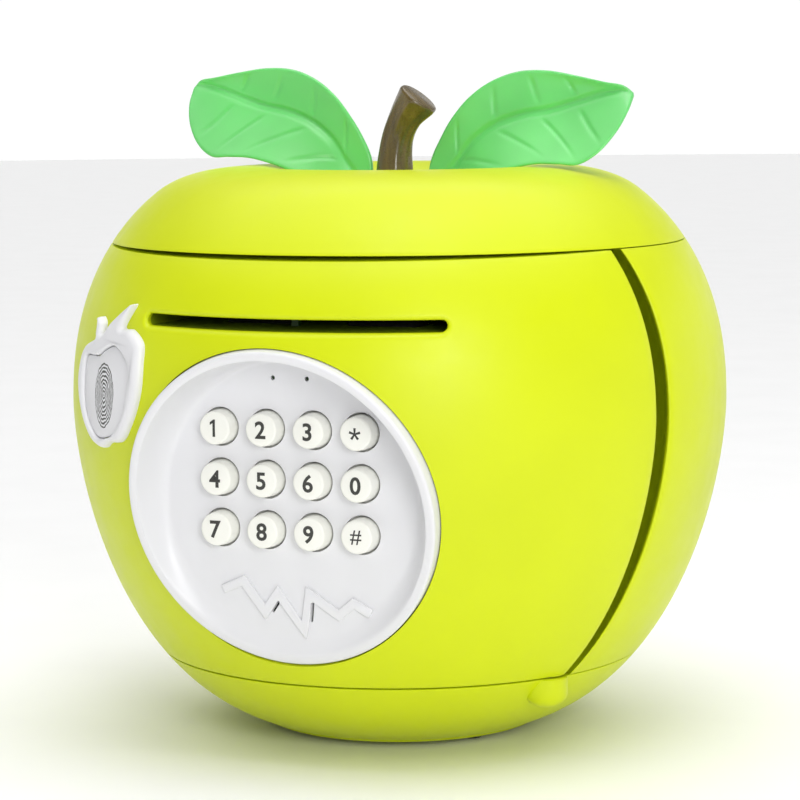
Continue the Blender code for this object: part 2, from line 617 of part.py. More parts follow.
def make_base():
    """The bowl under the seam, with the hinge boss, screw posts and battery opening."""
    flat = outline_radius(UNDERSIDE_Z) - 1.6
    outer = [Vector((0, UNDERSIDE_Z)), Vector((flat, UNDERSIDE_Z))]
    outer += [Vector((outline_radius(z), z)) for z in steps(UNDERSIDE_Z + 0.6, BASE_SEAM_Z, 6)]
    ledge_z = BASE_SEAM_Z - FLOOR_THICKNESS - CLEARANCE
    rim = inner_radius(ledge_z + CLEARANCE, 1.8)
    inner = [Vector((rim, BASE_SEAM_Z)), Vector((rim, ledge_z))]
    inner += [Vector((rim - 3.5, ledge_z)), Vector((rim - 3.5, ledge_z - 1.6))]
    inner += [Vector((inner_radius(z), z)) for z in steps(ledge_z - 5.0, UNDERSIDE_Z + 5.0, 4)]
    inner += [Vector((flat - 1.5, UNDERSIDE_Z + WALL)), Vector((0, UNDERSIDE_Z + WALL))]
    base = turned([*outer, *inner], 40)
    hinge = Vector((HINGE_X, DOOR_PLANE_Y, 0))
    up = Vector((0, 0, 1))
    boss_low = BASE_SEAM_Z - BOSS_LENGTH
    boss = turned(
        [(0, boss_low), (2.8, boss_low + 0.3), (4.8, boss_low + 1.6), (BOSS_RADIUS, boss_low + 4.0),
         (BOSS_RADIUS, BASE_SEAM_Z), (0, BASE_SEAM_Z)],
        20,
        Matrix.Translation(hinge),
    )
    fuse(base, boss)
    pin_hole = PIN_RADIUS + CLEARANCE
    cut(base, rod(hinge + up * (boss_low + 2.4), hinge + up * (BASE_SEAM_Z + 1), pin_hole, 12))
    for angle in BASE_SCREW_ANGLES:
        place = polar(BASE_SCREW_RADIUS, angle)
        post = rod(place, place + up * ledge_z, BASE_POST_RADIUS, 12)
        mid_wall = [Vector((p.x - WALL / 2, p.y)) for p in outer[2:]]
        bowl = turned([Vector((0, mid_wall[0].y)), *mid_wall, Vector((0, BASE_SEAM_Z))], 40)
        fuse(base, keep_inside(post, bowl))
        cut(base, rod(place, place + up * (ledge_z - 4), SCREW_HEAD_RADIUS + 0.4, 12))
        cut(base, rod(place, place + up * (ledge_z + 1), SCREW_RADIUS + CLEARANCE, 10))
    cut(base, cover_block(CLEARANCE, UNDERSIDE_Z - 1, UNDERSIDE_Z + WALL + 1))
    seat_x, seat_y, seat_z = BOX_HALF_X + CLEARANCE, BOX_HALF_Y + CLEARANCE, BOX_BOTTOM_Z - CLEARANCE
    seat = box((-seat_x, -seat_y, seat_z), (seat_x, seat_y, BASE_SEAM_Z))
    boss_seat = 3.0 + CLEARANCE
    fuse(seat, rod((0, COVER_SCREW_Y, seat_z), (0, COVER_SCREW_Y, BASE_SEAM_Z), boss_seat, 12))
    cut(base, seat)
    for x in (FOOT_X, -FOOT_X):
        for y in (FOOT_Y, -FOOT_Y):
            bottom = (x, y, UNDERSIDE_Z - 1)
            cut(base, rod(bottom, (x, y, UNDERSIDE_Z + FOOT_SUNK), FOOT_RADIUS + CLEARANCE, 16))
    name_piece(base, "base_shell", "lime")


def make_money_floor():
    low = BASE_SEAM_Z - FLOOR_THICKNESS
    floor = rod((0, 0, low), (0, 0, FLOOR_TOP_Z), FLOOR_RADIUS, 40)
    up = Vector((0, 0, 1))
    hinge = Vector((HINGE_X, DOOR_PLANE_Y, 0))
    cut(floor, rod(hinge + up * (low - 1), hinge + up * (FLOOR_TOP_Z + 1), BOSS_RADIUS + 0.4, 20))
    for angle in BASE_SCREW_ANGLES:
        place = polar(BASE_SCREW_RADIUS, angle)
        start, end = place + up * (low - 1), place + up * (FLOOR_TOP_Z + 1)
        cut(floor, rod(start, end, SCREW_RADIUS + CLEARANCE, 10))
    name_piece(floor, "money_floor", "lime")


def make_battery_parts():
    inner_x, inner_y = BOX_HALF_X - BOX_WALL, BOX_HALF_Y - BOX_WALL
    ceiling = BOX_TOP_Z - BOX_WALL
    holder = box((-BOX_HALF_X, -BOX_HALF_Y, BOX_BOTTOM_Z), (BOX_HALF_X, BOX_HALF_Y, BOX_TOP_Z))
    boss = rod((0, COVER_SCREW_Y, BOX_BOTTOM_Z), (0, COVER_SCREW_Y, BOX_BOTTOM_Z + 10), 3.0, 12)
    fuse(holder, boss)
    cut(holder, box((-inner_x, -inner_y, BOX_BOTTOM_Z - 1), (inner_x, inner_y, ceiling)))
    boss_end = (0, COVER_SCREW_Y, BOX_BOTTOM_Z + 8.5)
    cut(holder, rod((0, COVER_SCREW_Y, BOX_BOTTOM_Z - 1), boss_end, 1.5, 10))
    name_piece(holder, "battery_box", "dark")
    pitch = 2 * CELL_RADIUS + CELL_GAP
    for i in range(3):
        end = 1 if i % 2 == 0 else -1
        x = (i - 1) * pitch
        start_y, tip_y = -end * CELL_LENGTH / 2, end * (CELL_LENGTH / 2 - 1)
        cell = rod((x, start_y, CELL_Z), (x, tip_y, CELL_Z), CELL_RADIUS - 0.05, 20)
        nub = rod((x, 0, CELL_Z), (x, end * CELL_LENGTH / 2, CELL_Z), 2.7, 12)
        name_piece(fuse(cell, nub), f"battery_{i + 1}", "cell")
    high = UNDERSIDE_Z + COVER_THICKNESS
    cover = cover_block(0, UNDERSIDE_Z, high)
    cut(cover, rod((0, COVER_SCREW_Y, UNDERSIDE_Z - 1), (0, COVER_SCREW_Y, high + 1), 1.5, 10))
    cut(cover, rod((0, COVER_SCREW_Y, UNDERSIDE_Z - 1), (0, COVER_SCREW_Y, UNDERSIDE_Z + 1.2), 2.9, 12))
    name_piece(cover, "battery_cover", "lime")
    head = rod((0, COVER_SCREW_Y, UNDERSIDE_Z + 0.1), (0, COVER_SCREW_Y, UNDERSIDE_Z + 0.9), 2.6, 12)
    shank = rod((0, COVER_SCREW_Y, UNDERSIDE_Z + 0.5), (0, COVER_SCREW_Y, BOX_BOTTOM_Z + 7.5), 1.2, 10)
    name_piece(fuse(head, shank), "battery_cover_screw", "steel")


def make_feet():
    places = [(x, y) for x in (-FOOT_X, FOOT_X) for y in (-FOOT_Y, FOOT_Y)]
    for i, (x, y) in enumerate(places):
        top = UNDERSIDE_Z + FOOT_SUNK - CLEARANCE
        foot = turned([(0, 0), (FOOT_RADIUS - 0.3, 0), (FOOT_RADIUS, 0.3), (FOOT_RADIUS, top), (0, top)], 16)
        name_piece(foot, f"foot_{i + 1}", "rubber")
        foot.location = Vector((x, y, 0)) * MM


def make_fasteners():
    ledge_z = BASE_SEAM_Z - FLOOR_THICKNESS - CLEARANCE
    for i, angle in enumerate(BASE_SCREW_ANGLES):
        start = polar(BASE_SCREW_RADIUS, angle, ledge_z - 4 - CLEARANCE - SCREW_HEAD)
        end = polar(BASE_SCREW_RADIUS, angle, BASE_SEAM_Z + 7)
        screw(start, end, f"base_screw_{i + 1}")
    for i, angle in enumerate(CAP_SCREW_ANGLES):
        radius = outline_radius(TOP_SEAM_Z) - CAP_SCREW_INSET
        start = polar(radius, angle, SHELL_TOP_Z - 2.5 - CLEARANCE - SCREW_HEAD)
        screw(start, polar(radius, angle, DECK_TOP_Z + 5), f"cap_screw_{i + 1}")
    hinge = Vector((HINGE_X, DOOR_PLANE_Y, 0))
    up = Vector((0, 0, 1))
    low = BASE_SEAM_Z - BOSS_LENGTH + 2.4 + CLEARANCE
    lower = rod(hinge + up * low, hinge + up * (DOOR_BOTTOM_Z + LOBE_LENGTH - 0.6), PIN_RADIUS, 12)
    name_piece(lower, "hinge_pin_lower", "steel")
    head_z = DECK_TOP_Z + CLEARANCE
    upper = rod(hinge + up * (DOOR_TOP_Z - LOBE_LENGTH + 0.6), hinge + up * (head_z + 1.2), PIN_RADIUS, 12)
    fuse(upper, rod(hinge + up * head_z, hinge + up * (head_z + 1.2), 3.5, 16))
    name_piece(upper, "hinge_pin_upper", "steel")


# ---- Stem and leaves ----


def make_stem():
    loops = []
    last = len(STEM_PATH) - 1
    for i, ((x, z), radius) in enumerate(zip(STEM_PATH, STEM_RADII)):
        before, after = Vector(STEM_PATH[max(i - 1, 0)]), Vector(STEM_PATH[min(i + 1, last)])
        along = (after - before).normalized()
        across = Vector((along.y, 0, -along.x))
        loop = []
        for step in range(14):
            angle = math.tau * step / 14
            side = across * math.cos(angle) + Vector((0, 1, 0)) * math.sin(angle)
            loop.append(Vector((x, 0, z)) + radius * side)
        loops.append(loop)
    stem = loft(loops)
    x, z = STEM_PATH[0]
    fuse(stem, rod((x, 0, dimple_z(0) - WALL - 1.5), (x, 0, z + 2), STEM_PEG_RADIUS, 14))
    name_piece(stem, "stem", "bark")


def cap_top_z(radius):
    """The height of the cap's upper surface: the dimple, then the shoulder."""
    if radius <= CREST_RADIUS:
        return dimple_z(radius)
    reach = outline_radius(BODY_HEIGHT - SHOULDER_DROP) - CREST_RADIUS
    return BODY_HEIGHT - SHOULDER_DROP * ((radius - CREST_RADIUS) / reach) ** 2 + 0.6


def leaf_point(along, across):
    """A point of the blade: along runs 0 to 1 from base to tip, across -1 to 1 from edge to edge."""
    chord = LEAF_TIP - LEAF_BASE
    upward = Vector((-chord.z, 0, chord.x)).normalized()
    rib = LEAF_BASE + chord * along + upward * LEAF_ARCH * math.sin(math.pi * along)
    fullness = math.sin(math.pi * min(1, along**0.85)) ** 0.62
    width = max((LEAF_UPPER if across > 0 else LEAF_LOWER) * fullness, 1.2 * (1 - along))
    side = upward + Vector((0, LEAF_LEAN, 0))
    while across < 0 and width > 1.2:
        edge = rib - side * width
        if edge.z > cap_top_z(abs(edge.x)) + LEAF_ABOVE_CAP:
            break
        width -= 0.2
    forward = LEAF_CUP * abs(across) ** 1.6 * math.sin(math.pi * along)
    return rib + side * width * across - Vector((0, forward, 0))


def make_leaf(name, side, lift):
    """A closed thin blade, mirrored for the left side, with a peg under its base."""
    rows = steps(0.0, 0.985, 12)
    columns = steps(-1, 1, 6)
    loops = []
    for along in rows:
        front = [leaf_point(along, across) for across in columns]
        back = [p + Vector((0, LEAF_THICKNESS, 0)) for p in reversed(front)]
        loops.append(front + back)
    turn = Matrix.Translation(LEAF_BASE) @ Matrix.Rotation(math.radians(-lift), 4, "Y")
    turn = turn @ Matrix.Translation(-LEAF_BASE)
    loops = [[turn @ p for p in loop] for loop in loops]
    loops = [[Vector((side * p.x, p.y, p.z)) for p in loop] for loop in loops]
    leaf = loft(loops)
    base = Vector((side * LEAF_BASE.x, LEAF_BASE.y, LEAF_BASE.z))
    low = dimple_z(LEAF_BASE.x) - WALL - 1.5
    fuse(leaf, rod((base.x, base.y, low), base + Vector((0, 0, 2.5)), LEAF_PEG_RADIUS, 12))
    name_piece(leaf, name, "leaf")


# ---- Door ----


def door_top(y):
    """The door's top edge, whose gap under the cap widens towards the front."""
    share = (DOOR_PLANE_Y - y) / (outline_radius(TOP_SEAM_Z) + DOOR_PLANE_Y)
    return DOOR_TOP_Z - (DOOR_TOP_GAP_FRONT - DOOR_TOP_GAP_BACK) * max(0, min(1, share))


def door_solid(depth, plane_y, bottom, top_drop, count=30, levels=12):
    """The D-shaped block between the door plane and the surface that lies depth inside the outline."""
    loops = []
    for z in steps(bottom, DOOR_TOP_Z - top_drop, levels):
        loop = []
        radius = inner_radius(z, depth)
        reach = math.degrees(math.acos(-plane_y / radius))
        for azimuth in steps(-reach, reach, count):
            point = polar(radius, azimuth, z)
            if z == DOOR_TOP_Z - top_drop:
                height = door_top(point.y) - top_drop
                point = polar(inner_radius(height, depth), azimuth, height)
                point.y = min(point.y, plane_y)
            loop.append(point)
        loops.append(loop)
    return loft(loops)


def hinge_lobe(low, high, radius):
    return rod((HINGE_X, DOOR_PLANE_Y, low), (HINGE_X, DOOR_PLANE_Y, high), radius, 20)


def dish_place():
    """The rim circle's frame: X across, Y up the rim plane, Z out of the dish."""
    tilt = Matrix.Rotation(math.radians(DISH_TILT), 4, "X")
    return Matrix.Translation((0, DISH_RIM_Y, DISH_Z)) @ tilt @ FRONT


def dish_cylinder(grow):
    """The dish's round outline as a long cylinder square to its rim."""
    place = dish_place()
    return rod(place @ Vector((0, 0, -30)), place @ Vector((0, 0, 30)), DISH_RADIUS + grow, 64)


def badge_place():
    turn = Matrix.Rotation(math.radians(BADGE_AZIMUTH), 4, "Z")
    out = polar(outline_radius(BADGE_Z), BADGE_AZIMUTH, BADGE_Z)
    return Matrix.Translation(out) @ turn @ FRONT


def door_screw_places():
    half = BODY_WIDTH / 2 - 29
    return [(x, z) for z in (DISH_Z - 24, TOP_SEAM_Z - 9) for x in (-half, half)]


def make_door_panel(pivot):
    panel = door_solid(0, DOOR_PLANE_Y, DOOR_BOTTOM_Z, 0)
    hollow = door_solid(WALL, DOOR_PLANE_Y + 1, DOOR_BOTTOM_Z + WALL, WALL)
    for x, z in door_screw_places():
        post = rod((x, -BODY_WIDTH / 2, z), (x, DOOR_PLANE_Y - WALL - CLEARANCE, z), 4.0, 12)
        cut(hollow, post)
    for low, high in ((DOOR_BOTTOM_Z, DOOR_BOTTOM_Z + LOBE_LENGTH), (DOOR_TOP_Z - LOBE_LENGTH, DOOR_TOP_Z)):
        cut(hollow, hinge_lobe(low - 1, high + 1 if high == DOOR_TOP_Z else high, LOBE_RADIUS))
    cut(panel, hollow)
    for low, high in ((DOOR_BOTTOM_Z, DOOR_BOTTOM_Z + LOBE_LENGTH), (DOOR_TOP_Z - LOBE_LENGTH, DOOR_TOP_Z)):
        fuse(panel, hinge_lobe(low, high, LOBE_RADIUS))
        cut(panel, hinge_lobe(low - 1, high + 1, PIN_RADIUS + CLEARANCE))
    for x, z in door_screw_places():
        back = DOOR_PLANE_Y - WALL - CLEARANCE
        cut(panel, rod((x, back - 8, z), (x, back + 1, z), SCREW_RADIUS + CLEARANCE, 10))
    cut(panel, dish_cylinder(CLEARANCE))
    slot = slot_outline((SLOT_X, SLOT_Z), SLOT_LENGTH, SLOT_HEIGHT)
    cut(panel, prism(slot, 0.5 * BODY_WIDTH - 40, 0.5 * BODY_WIDTH + 5, FRONT))
    collar = grow_loop(smooth_loop(PAD_OUTLINE), COLLAR_GROW + 2 * CLEARANCE)
    cut(panel, prism(collar, -12, 8, badge_place()))
    name_piece(panel, "door_panel", "lime", pivot)


def make_door_back_cover(pivot):
    front, back = DOOR_PLANE_Y - WALL, DOOR_PLANE_Y
    plate = door_solid(WALL + CLEARANCE, back, DOOR_BOTTOM_Z + WALL + CLEARANCE, WALL + CLEARANCE)
    span = BODY_WIDTH
    keep_inside(plate, box((-span, front, 0), (span, back + 1, 2 * span)))
    for low, high in ((DOOR_BOTTOM_Z, DOOR_BOTTOM_Z + LOBE_LENGTH), (DOOR_TOP_Z - LOBE_LENGTH, DOOR_TOP_Z)):
        cut(plate, hinge_lobe(low - 1, high + 1, LOBE_RADIUS + 0.4))
    for x, z in door_screw_places():
        cut(plate, rod((x, front - 1, z), (x, back + 1, z), SCREW_RADIUS + CLEARANCE, 10))
    half = SLOT_LENGTH / 2 + 0.6
    exit_low = (SLOT_X - half, front - 1, SLOT_Z - 7)
    cut(plate, box(exit_low, (SLOT_X + half, back + 1, SLOT_Z + 4)))
    name_piece(plate, "door_back_cover", "lime", pivot)
    for i, (x, z) in enumerate(door_screw_places()):
        start = (x, back + CLEARANCE + SCREW_HEAD, z)
        screw(start, (x, front - 6, z), f"door_screw_{i + 1}", pivot)


def floor_y(z):
    """The dish floor: upright above the crease, leaning back below it."""
    return DISH_FLOOR_Y + max(0, CREASE_Z - z) * math.tan(math.radians(LOWER_FLOOR_LEAN))


def floor_depth(x, y):
    """The floor's depth under the rim plane, at a place in that plane."""
    place = dish_place()
    low, high = -2.0, 40.0
    for _ in range(30):
        depth = (low + high) / 2
        point = place @ Vector((x, y, -depth))
        if point.y < floor_y(point.z):
            low = depth
        else:
            high = depth
    return low


def dish_depth(radius, angle):
    """The dish's depth under the rim plane: flat rim, curved wall, then the floor."""
    wall_top = DISH_RADIUS - RIM_WIDTH
    if radius >= wall_top:
        return 0.0
    across, up = radius * math.cos(angle), radius * math.sin(angle)
    share = min(1, (wall_top - radius) / DISH_WALL_RUN)
    return floor_depth(across, up) * (1 - (1 - share) ** 2.2)


def make_keypad_plate(pivot):
    count = 40
    wall_top = DISH_RADIUS - RIM_WIDTH
    floor_edge = wall_top - DISH_WALL_RUN
    angles = [math.tau * i / count for i in range(count)]
    place = dish_place()
    skirt_inner = DISH_RADIUS - PLATE_WALL

    def ring(radius, depth_at):
        return [
            place @ Vector((radius * math.cos(a), radius * math.sin(a), -depth_at(a))) for a in angles
        ]

    rings = [ring(radius, lambda a, r=radius: dish_depth(r, a)) for radius in (0.5, 12, 24, floor_edge)]
    for share in (0.75, 0.5, 0.25, 0.08):
        radius = wall_top - share * DISH_WALL_RUN
        rings.append(ring(radius, lambda a, r=radius: dish_depth(r, a)))
    rings.append(ring(wall_top, lambda a: 0.0))
    rings.append(ring(DISH_RADIUS - 0.5, lambda a: 0.0))
    rings.append(ring(DISH_RADIUS, lambda a: 0.5))
    rings.append(ring(DISH_RADIUS, lambda a: SKIRT_DEPTH))
    rings.append(ring(skirt_inner, lambda a: SKIRT_DEPTH))

    def skirt_root(angle):
        depth = min(SKIRT_DEPTH - 0.4, dish_depth(wall_top - 2, angle) + PLATE_WALL)
        return max(PLATE_WALL, depth)

    def back_depth(radius, angle):
        return floor_depth(radius * math.cos(angle), radius * math.sin(angle)) + PLATE_WALL

    rings.append(ring(skirt_inner, skirt_root))
    for radius in (floor_edge + 1.8, 24, 12, 0.5):
        rings.append(ring(radius, lambda a, r=radius: back_depth(r, a)))
    plate = loft(rings)
    for row in range(3):
        for column in range(4):
            x, z = key_place(row, column)
            hole = KEY_RADIUS + KEY_FIT
            cut(plate, rod((x, DISH_FLOOR_Y - 6, z), (x, PLATE_BACK_Y + 2, z), hole, 16))
    for x in (-LAMP_X, LAMP_X):
        cut(plate, rod((x, DISH_FLOOR_Y - 6, LAMP_Z), (x, PLATE_BACK_Y + 2, LAMP_Z), LAMP_RADIUS, 10))
    fuse(plate, make_ribbon())
    for (x1, z1), (x2, z2) in SOUND_SLITS:
        along = Vector((x2 - x1, z2 - z1))
        side = Vector((-along.y, along.x)).normalized() * SLIT_WIDTH / 2
        ends = Vector((x1, CREASE_Z + z1)), Vector((x2, CREASE_Z + z2))
        outline = [ends[0] - side, ends[1] - side, ends[1] + side, ends[0] + side]
        cut(plate, prism(outline, -DISH_FLOOR_Y - 6, -DISH_FLOOR_Y + 6, FRONT))
    board_front = BOARD_Y - CLEARANCE
    for x, z in ((31, DISH_Z - 8), (14, LAMP_Z - 4)):
        for side in (-1, 1):
            fuse(plate, rod((side * x, DISH_FLOOR_Y + 1, z), (side * x, board_front, z), 2.0, 10))
    name_piece(plate, "keypad_plate", "white", pivot)


def make_ribbon():
    """The raised zigzag on the lower floor, sunk a little into it."""
    corners = [Vector((x, CREASE_Z + z)) for x, z in RIBBON_CORNERS]
    half = RIBBON_WIDTH / 2
    left, right = [], []
    for i, corner in enumerate(corners):
        before = (corner - corners[i - 1]).normalized() if i > 0 else None
        after = (corners[i + 1] - corner).normalized() if i < len(corners) - 1 else None
        along = ((before or after) + (after or before)).normalized()
        normal = Vector((-along.y, along.x))
        reach = half / max(0.45, abs(normal.dot(Vector((-(after or before).y, (after or before).x)))))
        left.append(corner + normal * reach)
        right.append(corner - normal * reach)
    outline = left + right[::-1]
    lean = Matrix.Rotation(math.radians(LOWER_FLOOR_LEAN), 4, "X")
    crease = Matrix.Translation((0, DISH_FLOOR_Y, CREASE_Z))
    place = crease @ lean @ crease.inverted() @ FRONT
    return prism(outline, -DISH_FLOOR_Y - 1.0, -DISH_FLOOR_Y + RIBBON_PROUD, place)


def key_place(row, column):
    return (column - 1.5) * KEY_PITCH, KEYPAD_Z - (row - 1) * KEY_PITCH


def make_keys(door_pivot):
    flange = KEY_RADIUS + KEY_FLANGE
    front = KEY_PROUD + FLANGE_Y - DISH_FLOOR_Y
    profile = [(0, -KEY_STEM), (2.0, -KEY_STEM), (2.0, -1.0), (flange, -1.0), (flange, 0), (KEY_RADIUS, 0),
               (KEY_RADIUS, front - 0.7), (KEY_RADIUS - 0.8, front), (0, front)]
    shared = None
    for row, names in enumerate(KEY_NAMES):
        for column, key in enumerate(names):
            x, z = key_place(row, column)
            pivot = make_pivot(f"key_{key}_slide", (x, FLANGE_Y, z), door_pivot)
            if shared is None:
                piece = turned(profile, 14, FRONT)
                shared = piece.data
            else:
                piece = bpy.data.objects.new("solid", shared)
                bpy.context.scene.collection.objects.link(piece)
            piece.name = f"key_{key}"
            piece.parent = pivot
    shared.name = "key"
    shared.materials.append(finish_material("cream"))
    shared.shade_smooth()
    shared.set_sharp_from_angle(angle=math.radians(35))


def make_electronics(pivot):
    board_low, board_high = DISH_Z - 12.8, LAMP_Z + 3.4
    board = box((-33, BOARD_Y, board_low), (33, BOARD_Y + 1.6, board_high))
    fuse(board, box((-12, BOARD_Y + 1, DISH_Z), (8, BOARD_Y + 3.2, DISH_Z + 14)))
    name_piece(board, "circuit_board", "board", pivot)
    half_x = 1.5 * KEY_PITCH + KEY_RADIUS + 0.8
    half_z = KEY_PITCH + KEY_RADIUS + 0.8
    mat = box((-half_x, MAT_Y, KEYPAD_Z - half_z), (half_x, MAT_Y + 1.0, KEYPAD_Z + half_z))
    name_piece(mat, "key_mat", "rubber", pivot)
    lamps = box((-LAMP_X - 2.5, FLANGE_Y, LAMP_Z - 2), (LAMP_X + 2.5, FLANGE_Y + 2.6, LAMP_Z + 2))
    for x in (-LAMP_X, LAMP_X):
        fuse(lamps, rod((x, FLANGE_Y + 1, LAMP_Z), (x, DISH_FLOOR_Y + 0.6, LAMP_Z), LAMP_RADIUS - 0.25, 8))
    name_piece(lamps, "lamp_holder", "dark", pivot)
    speaker_z = DISH_Z - 26.0
    front = floor_y(speaker_z - SPEAKER_RADIUS) + PLATE_WALL + 0.5
    speaker = rod((0, front, speaker_z), (0, front + 2.5, speaker_z), SPEAKER_RADIUS, 24)
    fuse(speaker, rod((0, front + 2, speaker_z), (0, front + 5.5, speaker_z), 8, 20))
    name_piece(speaker, "speaker", "dark", pivot)


def make_badge(pivot):
    place = badge_place()
    outline = smooth_loop(BADGE_OUTLINE)
    pad = smooth_loop(PAD_OUTLINE)
    badge = prism(outline, -8, BADGE_PROUD, place)
    skin = door_solid(-CLEARANCE, DOOR_PLANE_Y + 5, DOOR_BOTTOM_Z - 3, 0, 72, 24)
    cut(badge, skin)
    fuse(badge, prism(grow_loop(pad, COLLAR_GROW), PAD_FLANGE_FRONT + CLEARANCE, 1.0, place))
    cut(badge, dish_cylinder(2 * CLEARANCE), prism(grow_loop(pad, PAD_FIT), -12, 8, place))
    name_piece(badge, "fingerprint_badge", "white", pivot)
    pad_pivot = make_pivot("fingerprint_pad_slide", place.translation, pivot)
    face = BADGE_PROUD - PAD_RECESS
    button = prism(pad, (PAD_FLANGE_BACK + PAD_FLANGE_FRONT) / 2, face, place)
    fuse(button, prism(grow_loop(pad, PAD_FLANGE), PAD_FLANGE_BACK, PAD_FLANGE_FRONT, place))
    name_piece(button, "fingerprint_pad", "white", pad_pivot)


def make_feeder(pivot):
    """The note duct with its ears, both rollers, the gear pair, the motor and the note sensor."""
    front_y = -inner_radius(SLOT_Z)
    channel_low, channel_high = SLOT_Z - CHANNEL_HEIGHT / 2, SLOT_Z + CHANNEL_HEIGHT / 2
    low, high = channel_low - DUCT_WALL, channel_high + DUCT_WALL
    back_y = DOOR_PLANE_Y - WALL - CLEARANCE
    duct = box((SLOT_X - DUCT_HALF, front_y, low), (SLOT_X + DUCT_HALF, back_y, high))
    keep_inside(duct, door_solid(WALL + CLEARANCE, DOOR_PLANE_Y, DOOR_BOTTOM_Z + 5, 5))
    channel_half = DUCT_HALF - DUCT_WALL
    channel_back = (SLOT_X + channel_half, back_y + 1, channel_high)
    cut(duct, box((SLOT_X - channel_half, front_y - 1, channel_low), channel_back))
    ear_low = PINION_Z - MOTOR_FLAT - 1
    for side, bottom in ((1, ear_low), (-1, DRUM_Z - 5)):
        near = SLOT_X + side * (DUCT_HALF - 0.4)
        far = near + side * EAR_WALL
        ear = box((min(near, far), ROLLER_Y - 6, bottom), (max(near, far), ROLLER_Y + 6, IDLER_Z + 5))
        fuse(duct, ear)
    bore = SHAFT_RADIUS + CLEARANCE
    reach = DUCT_HALF + 5
    for z in (DRUM_Z, IDLER_Z):
        for side in (1, -1):
            near, far = SLOT_X + side * (DUCT_HALF - 2.2), SLOT_X + side * reach
            cut(duct, rod((near, ROLLER_Y, z), (far, ROLLER_Y, z), bore, 12))
    cut(duct, rod((SLOT_X + DUCT_HALF - 3, ROLLER_Y, PINION_Z), (EAR_X + 5, ROLLER_Y, PINION_Z), 2.2, 12))
    for side in (1, -1):
        x1, x2 = SLOT_X + side * (DRUM_START - 0.8), SLOT_X + side * (DRUM_END + 0.8)
        window_low = (min(x1, x2), ROLLER_Y - 7, low - 1)
        cut(duct, box(window_low, (max(x1, x2), ROLLER_Y + 7, high + 1)))
    sensor_y, sensor_z = front_y + 10.5, high + 2.9
    for x in (SLOT_X - 4.2, SLOT_X + 2.7):
        fuse(duct, box((x, sensor_y - 2.5, high - 0.5), (x + 1.5, sensor_y + 2.5, sensor_z + 2.4)))
    cut(duct, rod((SLOT_X - 8, sensor_y, sensor_z), (SLOT_X + 8, sensor_y, sensor_z), 1.3, 10))
    cut(duct, box((SLOT_X - 1.8, sensor_y - 2, channel_high - 1), (SLOT_X + 1.8, sensor_y + 6.5, high + 1)))
    name_piece(duct, "note_guide", "dark", pivot)

    sensor_pivot = make_pivot("note_sensor_pivot", (SLOT_X, sensor_y, sensor_z), pivot)
    lever = box((SLOT_X - 1, sensor_y - 1, channel_low + 0.8), (SLOT_X + 1, sensor_y + 1, sensor_z))
    fuse(lever, rod((SLOT_X - 1, sensor_y, sensor_z), (SLOT_X + 1, sensor_y, sensor_z), 2.0, 12))
    fuse(lever, rod((SLOT_X - 4.4, sensor_y, sensor_z), (SLOT_X + 4.4, sensor_y, sensor_z), 1.0, 10))
    name_piece(lever, "note_sensor", "dark", sensor_pivot)

    roller_pivot = make_pivot("feed_roller_spin", (SLOT_X, ROLLER_Y, DRUM_Z), pivot)
    gear_x = EAR_X + EAR_WALL - 0.4 + 1.2
    shaft_left = SLOT_X - DUCT_HALF - EAR_WALL
    shaft_right = gear_x + GEAR_WIDTH + 0.5
    roller = rod((shaft_left, ROLLER_Y, DRUM_Z), (shaft_right, ROLLER_Y, DRUM_Z), SHAFT_RADIUS, 12)
    idler_pivot = make_pivot("pressure_roller_spin", (SLOT_X, ROLLER_Y, IDLER_Z), pivot)
    idler = rod((shaft_left, ROLLER_Y, IDLER_Z), (EAR_X + EAR_WALL, ROLLER_Y, IDLER_Z), SHAFT_RADIUS, 12)
    for side in (1, -1):
        start, end = SLOT_X + side * DRUM_START, SLOT_X + side * DRUM_END
        fuse(roller, rod((start, ROLLER_Y, DRUM_Z), (end, ROLLER_Y, DRUM_Z), DRUM_RADIUS, 24))
        fuse(idler, rod((start, ROLLER_Y, IDLER_Z), (end, ROLLER_Y, IDLER_Z), IDLER_RADIUS, 20))
    name_piece(roller, "feed_roller", "rubber", roller_pivot)
    name_piece(idler, "pressure_roller", "rubber", idler_pivot)

    sideways = Matrix(((0, 0, 1, 0), (1, 0, 0, 0), (0, 1, 0, 0), (0, 0, 0, 1)))
    gear_place = Matrix.Translation((gear_x, ROLLER_Y, DRUM_Z)) @ sideways
    gear = prism(gear_outline(GEAR_TEETH, GEAR_MODULE, GEAR_TEETH * 0.75), 0, GEAR_WIDTH, gear_place)
    cut(gear, rod((gear_x - 1, ROLLER_Y, DRUM_Z), (gear_x + 6, ROLLER_Y, DRUM_Z), bore, 12))
    name_piece(gear, "roller_gear", "white", roller_pivot)

    pinion_pivot = make_pivot("motor_pinion_spin", (gear_x, ROLLER_Y, PINION_Z), pivot)
    pinion_place = Matrix.Translation((gear_x, ROLLER_Y, PINION_Z)) @ sideways
    phase = PINION_TEETH * 0.25 + 0.5
    pinion = prism(gear_outline(PINION_TEETH, GEAR_MODULE, phase), 0, GEAR_WIDTH, pinion_place)
    motor_front = EAR_X - 0.4 - CLEARANCE
    fuse(pinion, rod((motor_front - 4, ROLLER_Y, PINION_Z), (gear_x + 1, ROLLER_Y, PINION_Z), 1.0, 10))
    name_piece(pinion, "motor_pinion", "white", pinion_pivot)

